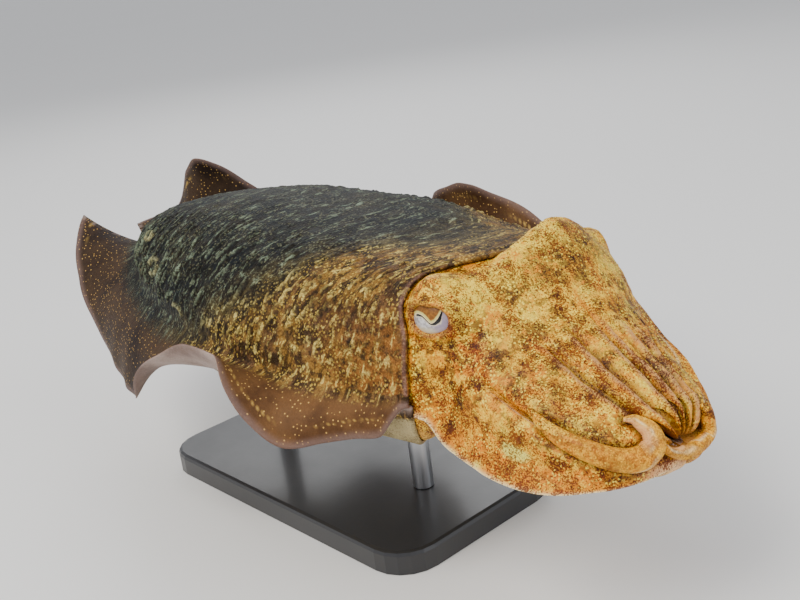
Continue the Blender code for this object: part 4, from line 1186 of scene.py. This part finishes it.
def head_surface(sizes, eye_sizes):
    """Head and arms as one closed grid: the outer section, grooved and ridged at the arm borders,
    folding over at the tips to a smaller inner section."""
    u, angle, fold = head_grid(sizes)
    outer = 1 - fold
    y, z = head_section(u, angle, keel=outer, sharp=1.0)
    core_y, core_z = core_section(u, angle)
    shrink = 1 + (inner_share(u) - 1) * fold
    y = np.where(fold > 0, core_y * shrink + (y - core_y) * outer, y)
    z = np.where(fold > 0, core_z * shrink + (z - core_z) * outer, z)
    reach = np.hypot(y, z)
    grid = to_space(u, y, z)
    normals = surface_normals(grid, head_axis(u))

    _, share, gap = arm_place(u, angle)
    border = gap * reach
    beside = -border * np.sign(np.sin(angle) * np.cos(angle) + 1e-9)
    from_flap = np.radians(table(u, *FLAP_EDGE) - np.degrees(angle)) * reach
    behind = step(u, 0.42, 0.52) * (1 - step(u, 0.90, 0.95)) * outer
    crease = bell(from_flap - 0.3, 0.7) * behind
    # Near the curled tip the skin is lowered, and the same field is painted as shade below.
    shade = curl_shade(grid, CURL_RIGHT_3) * outer
    keels = np.maximum(*(bell(angle_gap(angle, KEEL_ANGLE[side]), 0.3) for side in (1, -1)))
    calm = 1 - 0.7 * keels

    strength = table(u, *GROOVE_GROWTH)
    round_arm = table(u, SEC_U, TOP) / 20 * 1.3 * np.abs(2 * share - 1) ** 5 * step(u, 0.40, 0.56)
    groove = sizes.groove / MM * strength * bell(border, 0.6)
    edge = 0.5 * strength * bell(np.abs(border) - 1.5, 0.7)
    edge = edge + 0.5 * step(u, 0.42, 0.6) * bell(beside - 1.15, 0.42)
    lift = (edge - groove - round_arm - 0.7 * shade) * outer
    lift = lift + 0.5 * bell(from_flap + 1.4, 0.8) * behind - 1.1 * crease
    lumpy = 0.55 * cloud(grid, 7.0, 21) + 0.30 * cloud(grid, 2.6, 22)
    lift = lift + lumpy * outer * calm * 0.8
    along = u * HEAD_LENGTH
    flecks = bump_field(along, angle * HEAD_RADIUS, along.mean(1), HEAD_BUMPS, 31)
    flecks = flecks * step(cloud(grid, 6.0, 41), -0.35, 0.25)
    flecks = flecks * outer * calm * (np.arange(len(u))[:, None] < sizes.rows)
    lift = lift + 0.32 * flecks
    grid, lid = seat_eyes(fit_neck(grid + normals * lift[..., None], u), eye_sizes)

    mauve = bell(beside - 1.15, 0.42) * step(u, 0.46, 0.60) * outer
    # Painted shade in the gaps between the arms.
    between = bell(border, 0.45) * step(u, 0.5, 0.66) * outer
    tips = mark_field(u, angle, reach, TIP_SHADE) * outer
    values = head_values(u, angle, fold, reach, behind, keels)
    values.update({
        "fleck": flecks,
        "lid": lid,
        "mauve": np.maximum(mauve, 0.35 * bell(from_flap + 1.4, 0.5) * behind),
        # The between mask is painted shade: arm gaps, beside the curled tip, in the crease and beside the
        # tips.
        "between": np.maximum.reduce([between, 0.95 * shade, 0.9 * crease, 0.8 * tips]),
        "flap": step(from_flap, 0.0, 1.6) * (1 - step(from_flap, 16, 26)) * behind,
    })
    return shell(grid, values, cap_first=np.array([[3.0, 0, 9.0]]), cap_last=grid[-1:].mean(1))


def head_values(u, angle, fold, reach, behind, keels):
    """Masks of the head's skin that follow its places alone: marks, some dark ones painted shade under
    the curled tips, orange streaks, pale rims, the arms' lower lobe, inner faces, painted shade deep
    inside the arm crown, and underside."""
    outer = 1 - fold
    degrees = np.degrees(angle)
    orange = np.maximum(0.8 * bell(u - 0.955, 0.035) * step(np.sin(angle), -0.9, -0.2),
                        0.8 * keels * step(u, 0.12, 0.3))
    for strength, centre, shift, bend, width, start, end in STREAKS:
        line = bell(degrees - (centre + shift * step(u, *bend)), width)
        orange = np.maximum(orange, strength * line * step(u, *start) * (1 - step(u, *end)))
    place, centre, length, width = OVAL_MARK
    across = angle_gap(angle, math.radians(centre)) * reach / width
    oval = bell(np.hypot((u - place) * HEAD_LENGTH / length, across), 1.0)
    left_rim = 0.6 * bell(angle_gap(angle, KEEL_ANGLE[1]), 0.018) * step(u, 0.40, 0.55)
    rim = np.maximum(left_rim, bell(angle_gap(angle, KEEL_ANGLE[-1]), 0.026)) * step(u, 0.08, 0.2)
    rim = np.maximum(rim, 0.6 * bell(degrees - table(u, *FLAP_RIM), 1.0) * behind)
    return {
        # Dark marks, partly painted shade under the curled tips.
        "dark": mark_field(u, angle, reach, DARK_MARKS_AND_SHADE, mirrored=True) * outer,
        "pale": mark_field(u, angle, reach, PALE_MARKS, mirrored=True) * outer,
        "orange": np.clip(orange, 0, 1) * (1 - step(fold, 0.3, 0.7)),
        "lobe": bell(u - 0.962, 0.018) * step(degrees, 180, 192) * (1 - step(degrees, 250, 262)),
        "arms": step(u, 0.50, 0.68) * step(np.sin(angle), -0.1, 0.3) * outer,
        "oval": np.maximum(step(oval, 0.3, 0.62), mark_field(u, angle, reach, WHITE_DOTS)) * outer,
        "rim": rim * outer,
        "oral": step(fold, 0.35, 0.8) * 0.9,
        # Painted shade deep inside the arm crown.
        "deep": step(fold, 0.9, 1.0) * (1 - step(u, 0.86, 0.90)),
        "belly": 0.75 * step(-np.sin(angle), 0.45, 0.9) * (1 - step(u, 0.80, 0.87)) * outer,
    }


def fit_neck(grid, u):
    """Fits the neck to the collar. Behind the rim the skin lies just inside the lip; ahead of it the
    skin leaves the rim in a slope and blends into the head's own shape over about a centimetre."""
    rim = mantle_point(1.0, np.linspace(0, 2 * math.pi, 361))
    rim[:, 2] -= RING_HEIGHT
    y, z = grid[..., 1], grid[..., 2] - RING_HEIGHT
    polar = np.arctan2(rim[:, 2], rim[:, 1])
    order = np.argsort(polar)
    here = np.arctan2(z, y)
    limit, front = (
        np.interp(here, polar[order], field[order], period=2 * math.pi)
        for field in (np.hypot(rim[:, 1], rim[:, 2]), rim[:, 0])
    )
    limit = limit - LIP - 0.4
    size = np.hypot(y, z)
    ahead = grid[..., 0] - front
    steep = 2.2 + 4.0 * near_angle(here, 65, 0.7)
    slope = limit + steep * np.maximum(ahead - 0.8, 0)
    fill = limit - 0.12 * np.maximum(ahead, 0)
    weight = (1 - step(ahead, 0.5, 14)) * step(np.sin(here), -0.86, -0.6)
    target = np.minimum(size + (np.maximum(size, fill) - size) * weight, slope)
    factor = np.where(u < 0.5, target / np.maximum(size, 1e-6), 1)
    return np.stack([grid[..., 0], y * factor, RING_HEIGHT + z * factor], -1)


def curl_path(rows, steps, crown=True):
    """Middle line of a curled arm tip: points by axis share, angle and lift over the crown, or else
    by axis share and offsets to the left and up."""
    knots = np.linspace(0, 1, len(rows))
    at = np.linspace(0, 1, steps)
    u, angle, lift, radius = (table(at, knots, [row[k] for row in rows]) for k in range(4))
    if not crown:
        return at, u, to_space(u, angle, lift), radius
    y, z = head_section(u, np.radians(angle))
    length = np.hypot(y, z)
    return at, u, to_space(u, y * (1 + lift / length), z * (1 + lift / length)), radius


def curl_shade(grid, rows):
    """How close each point of the skin lies to the side of a curled tip, from 0 to 1."""
    _, _, path, radius = curl_path(rows, 48)
    close = np.full(grid.shape[:-1], 99.0)
    for spot, size in zip(path[4:], radius[4:]):
        close = np.minimum(close, np.abs(np.linalg.norm(grid - spot, axis=-1) - size))
    return bell(close, 1.3)


def curl_surface(rows, crown=True, sides=22, steps=84):
    """Tapered tube along a path on the crown, flattened a little, its inner side marked as oral."""
    at, u, path, radius = curl_path(rows, steps, crown)
    along = unit(np.gradient(path, axis=0))
    outward = path - head_axis(u)
    outward = unit(outward - along * (outward * along).sum(-1, keepdims=True))
    across = np.cross(along, outward)
    turn = full_turn(sides)
    ring = across[:, None] * np.cos(turn)[None, :, None] * 1.12
    ring = ring + outward[:, None] * np.sin(turn)[None, :, None] * 0.92
    grid = path[:, None] + ring * radius[:, None, None]
    toward = unit(path[len(path) // 2:].mean(0) - path)
    inner = (unit(ring) * toward[:, None]).sum(-1)
    turned = step(at, 0.52, 0.66)[:, None]
    low_edge = 0.6 * bell(angle_gap(turn, 0.2), 0.2)[None, :] * step(at, 0.1, 0.3)[:, None] * (1 - turned)
    values = {
        "oral": step(inner, 0.05, 0.45) * turned,
        "band": step(at, 0.05, 0.3)[:, None] + 0 * inner,
        "rim": np.maximum(0.7 * bell(inner - 0.02, 0.10) * turned, low_edge),
        "pale": 0.55 * step(-inner, -0.6, 0.2) * turned,
    }
    return shell(grid, values, cap_first=path[:1], cap_last=path[-1:])


def sucker_surfaces(sizes):
    """Four rows of cups along the inner face of each arm. One cup is a profile turned round its axis:
    a stalk, a swollen wall, a rim and a dished mouth; all cups are copies of it, scaled and placed."""
    turn = full_turn(10)
    radius = np.array([0.55, 0.72, 1.0, 0.98, 0.74, 0.40])[:, None]
    height = np.array([-0.5, 0.15, 0.55, 0.95, 1.0, 0.55])[:, None]
    profile = np.stack([radius * np.cos(turn), radius * np.sin(turn), height + 0 * turn], -1)
    cup, faces, _ = shell(profile, {}, cap_first=np.array([[0, 0, -0.5]]), cap_last=np.array([[0, 0, 0.45]]))
    hollow = np.concatenate([np.repeat([0, 0, 0, 0, 0.25, 1.0], 10), [0, 1.0]])
    spots = []
    for low, high, end in zip(BORDERS, BORDERS[1:], ARM_REACH):
        for line, across in enumerate((0.17, 0.39, 0.61, 0.83)):
            angle = math.radians(low + (high - low) * across)
            place = 0.56 + 0.006 * (line % 2)
            while place < end - 0.05:
                y, z = core_section(np.array(place), np.array(angle))
                wide = math.radians(high - low) * math.hypot(y, z) * float(inner_share(place))
                size = min(sizes.sucker / MM, 0.105 * wide) * (1.15 - 0.6 * place)
                spots.append((place, angle, size))
                place += 2.3 * size / HEAD_LENGTH
    u, angle, size = np.array(spots).T
    y, z = core_section(u, angle)
    share = inner_share(u)
    base = to_space(u, y * share, z * share)
    centre, _, _, along = head_frame(u)
    inward = unit(centre - base)
    third = unit(np.cross(along, inward))
    axes = (np.cross(inward, third), third, inward)
    placed = base[:, None] + sum(
        (cup[:, k] * size[:, None])[..., None] * axes[k][:, None] for k in range(3)
    )
    all_faces = [[start + i for i in face] for start in np.arange(len(u)) * len(cup) for face in faces]
    return placed.reshape(-1, 3), all_faces, {"cup": np.tile(hollow, len(u))}


def eye_surface(side):
    """Ball with its pole facing out: rows by polar angle, close together on the visible part. The
    masks follow a W-shaped pupil curve on the plane in front of the eye."""
    centre, along, up, outward = eye_axes(side)
    polar = np.radians(np.concatenate([np.linspace(0.4, 68, 74), np.linspace(72, 179, 20)]))[:, None]
    turn = full_turn(132)[None, :]
    radius = EYE_RADIUS * (1 - 0.35 * step(polar, math.radians(58), math.radians(100)))
    a = np.sin(polar) * np.cos(turn) * radius
    b = np.sin(polar) * np.sin(turn) * radius
    d = np.cos(polar) * radius + 0 * turn
    grid = centre + a[..., None] * along + b[..., None] * up + d[..., None] * outward
    curve, after, before = (table(a + shift, PUPIL_X, PUPIL_Y) for shift in (0, 0.05, -0.05))
    away = (b - curve) / np.sqrt(1 + ((after - before) / 0.1) ** 2)
    gap = np.abs(away)
    half = table(a, PUPIL_X, PUPIL_HALF)
    outline = (1 - step(gap - half, 0.14, 0.34)) * step(a, -4.4, -3.6) * (1 - step(b, 2.5, 3.2))
    masks = {
        "pupil": (1 - step(gap, half, half + 0.12)) * step(a, -3.5, -3.1) * (1 - step(b, 2.3, 2.7)),
        "outline": outline * np.where(away > 0, 0.9, 0.6),
        "band": step(away, 0.0, 0.2),
        "flap": step(away - half, 0.70, 0.95),
        "right": step(a, 1.2, 4.6),
        # Painted shadow of the lid, growing towards the top.
        "shade": step(b, -0.5, 4.2),
        "low": step(-b, 1.6, 3.4),
    }
    pole = (outward * EYE_RADIUS)[None]
    return shell(grid, {key: mask * (d > 0) for key, mask in masks.items()}, centre + pole, centre - pole)


def funnel_surface():
    """Flattened tube: its half width, half height and middle follow x; the wall turns in at the mouth
    and runs back inside."""
    start, end = FUNNEL_X[0], FUNNEL_X[-1]
    x = np.linspace(start, end, 40)
    wall = np.array([0, 0.35, 0.85, 1.2, 1.3, 1.5])
    ahead = np.array([0.35, 0.55, 0.45, 0.1, -3.0, -7.5])
    xs = np.concatenate([x, end + ahead])[:, None]
    shrink = np.concatenate([0 * x, wall])[:, None]
    half = table(xs, FUNNEL_X, FUNNEL_HALF_WIDTH) - shrink
    tall = table(xs, FUNNEL_X, FUNNEL_HALF_HEIGHT) - shrink
    turn = full_turn(48)[None, :]
    z = table(xs, FUNNEL_X, FUNNEL_Z) + tall * np.sin(turn)
    grid = np.stack([xs + 0 * turn, half * np.cos(turn), z], -1)
    back_end, front_end = (start, 0, FUNNEL_Z[0]), (end + ahead[-1], 0, FUNNEL_Z[-1])
    return shell(grid, {}, np.array([back_end]), np.array([front_end]))


def arm_nodes():
    """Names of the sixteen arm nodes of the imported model."""
    return [f"arm_{side}_{number}_{part}" for side in ("left", "right") for number in (1, 2, 3, 4)
            for part in ("base", "tip")]


class CUTTLEFISH_OT_body(bpy.types.Operator):
    """Make the skin of the mantle and fins"""
    bl_idname = "cuttlefish.body"
    bl_label = "Mantle and Fins"

    def execute(self, context):
        sizes = context.scene.cuttlefish.body
        part = body_surface(sizes)
        build_piece("mantle_and_fins_skin", [part], body_material(sizes),
                    ("mantle", "fin_right", "fin_left"))
        return {"FINISHED"}


class CUTTLEFISH_OT_head(bpy.types.Operator):
    """Make the skin of the head and the eight arms, with the curled tips"""
    bl_idname = "cuttlefish.head"
    bl_label = "Head and Arms"

    def execute(self, context):
        sizes = context.scene.cuttlefish.head
        parts = [head_surface(sizes, context.scene.cuttlefish.eye)]
        parts += [curl_surface(CURL_RIGHT_3), curl_surface(CURL_LEFT_3, crown=False)]
        build_piece("head_and_arms_skin", parts, head_material(sizes), ("head", *arm_nodes()))
        return {"FINISHED"}


class CUTTLEFISH_OT_suckers(bpy.types.Operator):
    """Make the rows of suckers inside the arm crown"""
    bl_idname = "cuttlefish.suckers"
    bl_label = "Suckers"

    def execute(self, context):
        part = sucker_surfaces(context.scene.cuttlefish.head)
        build_piece("sucker_rows", [part], sucker_material())
        return {"FINISHED"}


class CUTTLEFISH_OT_eyes(bpy.types.Operator):
    """Make both eyes"""
    bl_idname = "cuttlefish.eyes"
    bl_label = "Eyes"

    def execute(self, context):
        material = eye_material(context.scene.cuttlefish.eye)
        for side, name in ((-1, "eye_right"), (1, "eye_left")):
            build_piece(name + "_ball", [eye_surface(side)], material, (name,))
        return {"FINISHED"}


class CUTTLEFISH_OT_funnel(bpy.types.Operator):
    """Make the funnel under the head"""
    bl_idname = "cuttlefish.funnel"
    bl_label = "Funnel"

    def execute(self, context):
        build_piece("funnel_tube", [funnel_surface()], funnel_material(), ("funnel",))
        return {"FINISHED"}


class CUTTLEFISH_OT_stand(bpy.types.Operator):
    """Give the stand's base and rods their finishes"""
    bl_idname = "cuttlefish.stand"
    bl_label = "Stand Finishes"

    def execute(self, context):
        lacquer, steel = base_material(), rod_material()
        finishes = {"stand_base": lacquer, "stand_rod_front": steel, "stand_rod_rear": steel}
        for name, material in finishes.items():
            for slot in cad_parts[name].material_slots:
                slot.material = material
        return {"FINISHED"}


class CUTTLEFISH_OT_studio(bpy.types.Operator):
    """Make the floor, the lights and the camera"""
    bl_idname = "cuttlefish.studio"
    bl_label = "Studio"

    def execute(self, context):
        sizes = context.scene.cuttlefish.studio
        make_floor(sizes)
        for name, setting, share, place, size, colour in LIGHTS:
            make_light(name, place, size, getattr(sizes, setting) * share, colour)
        make_world()
        make_camera()
        return {"FINISHED"}


def make_floor(sizes):
    """Flat square grid at the stand's underside."""
    half = sizes.floor_size / 2
    line = np.linspace(-half, half, FLOOR_LINES)
    x, y = np.meshgrid(line, line, indexing="ij")
    points = np.stack([x, y, np.full_like(x, BASE_LOW[2] - FLOOR_DROP)], -1).reshape(-1, 3)
    i, j = np.meshgrid(np.arange(FLOOR_LINES - 1), np.arange(FLOOR_LINES - 1), indexing="ij")
    a = (i * FLOOR_LINES + j).ravel()
    faces = np.stack([a, a + FLOOR_LINES, a + FLOOR_LINES + 1, a + 1], -1)
    mesh = bpy.data.meshes.new("studio_floor")
    mesh.from_pydata(points, [], faces.tolist())
    mesh.materials.append(floor_material(sizes))
    floor = add_object("studio_floor", mesh)


def make_light(name, place, size, strength, colour):
    """Square soft light aimed at the animal."""
    lamp = bpy.data.lights.new(name, "AREA")
    lamp.shape = "SQUARE"
    lamp.size = size
    lamp.energy = strength
    lamp.color = colour
    light = add_object(name, lamp)
    away = unit(np.array(place) - ORIGIN - np.array(LIGHT_AIM))
    side = unit(np.cross((0, 0, 1.0), away))
    turn = np.column_stack([side, np.cross(away, side), away])
    light.matrix_world = Matrix.Translation(place) @ Matrix(turn.tolist()).to_4x4()


def make_world():
    """Even pale light from all round."""
    world = bpy.data.worlds.new("studio_air")
    world.use_nodes = True
    back = world.node_tree.nodes["Background"]
    back.inputs["Color"].default_value = AIR_COLOUR
    back.inputs["Strength"].default_value = AIR_STRENGTH
    bpy.context.scene.world = world


def make_camera():
    """Camera at the photograph's angle: ahead, to the animal's right and above."""
    lens = bpy.data.cameras.new("photo_view")
    lens.lens = CAMERA_LENS
    lens.sensor_width = 36
    lens.clip_start = 0.01
    camera = add_object("photo_view", lens)
    place = ORIGIN + np.array(CAMERA_PLACE) * MM
    camera.matrix_world = Matrix.Translation(place.tolist()) @ Matrix(CAMERA_TURN).to_4x4()
    bpy.context.scene.camera = camera


class CUTTLEFISH_PT_panel(bpy.types.Panel):
    """Lists the pieces of the cuttlefish finish"""
    bl_idname = "CUTTLEFISH_PT_panel"
    bl_label = "Cuttlefish"
    bl_space_type = "VIEW_3D"
    bl_region_type = "UI"
    bl_category = "Cuttlefish"

    def draw(self, context):
        for part in ("body", "head", "eye", "studio"):
            group = getattr(context.scene.cuttlefish, part)
            box = self.layout.box()
            for name in group.__annotations__:
                box.prop(group, name)
        for operator in OPERATORS:
            self.layout.operator(operator.bl_idname)


OPERATORS = (
    CUTTLEFISH_OT_body, CUTTLEFISH_OT_head, CUTTLEFISH_OT_suckers, CUTTLEFISH_OT_eyes,
    CUTTLEFISH_OT_funnel, CUTTLEFISH_OT_stand, CUTTLEFISH_OT_studio,
)
CLASSES = (BodySizes, HeadSizes, EyeSizes, StudioSizes, CuttlefishSizes, *OPERATORS, CUTTLEFISH_PT_panel)


def register():
    """Add the settings, operators and panel to Blender."""
    for item in CLASSES:
        bpy.utils.register_class(item)
    bpy.types.Scene.cuttlefish = PointerProperty(type=CuttlefishSizes)


def unregister():
    """Take them out again."""
    del bpy.types.Scene.cuttlefish
    for item in reversed(CLASSES):
        bpy.utils.unregister_class(item)


def main():
    """Make every piece and the studio."""
    register()
    bpy.ops.cuttlefish.body()
    bpy.ops.cuttlefish.head()
    bpy.ops.cuttlefish.suckers()
    bpy.ops.cuttlefish.eyes()
    bpy.ops.cuttlefish.funnel()
    bpy.ops.cuttlefish.stand()
    bpy.ops.cuttlefish.studio()


if __name__ == "__main__":
    main()
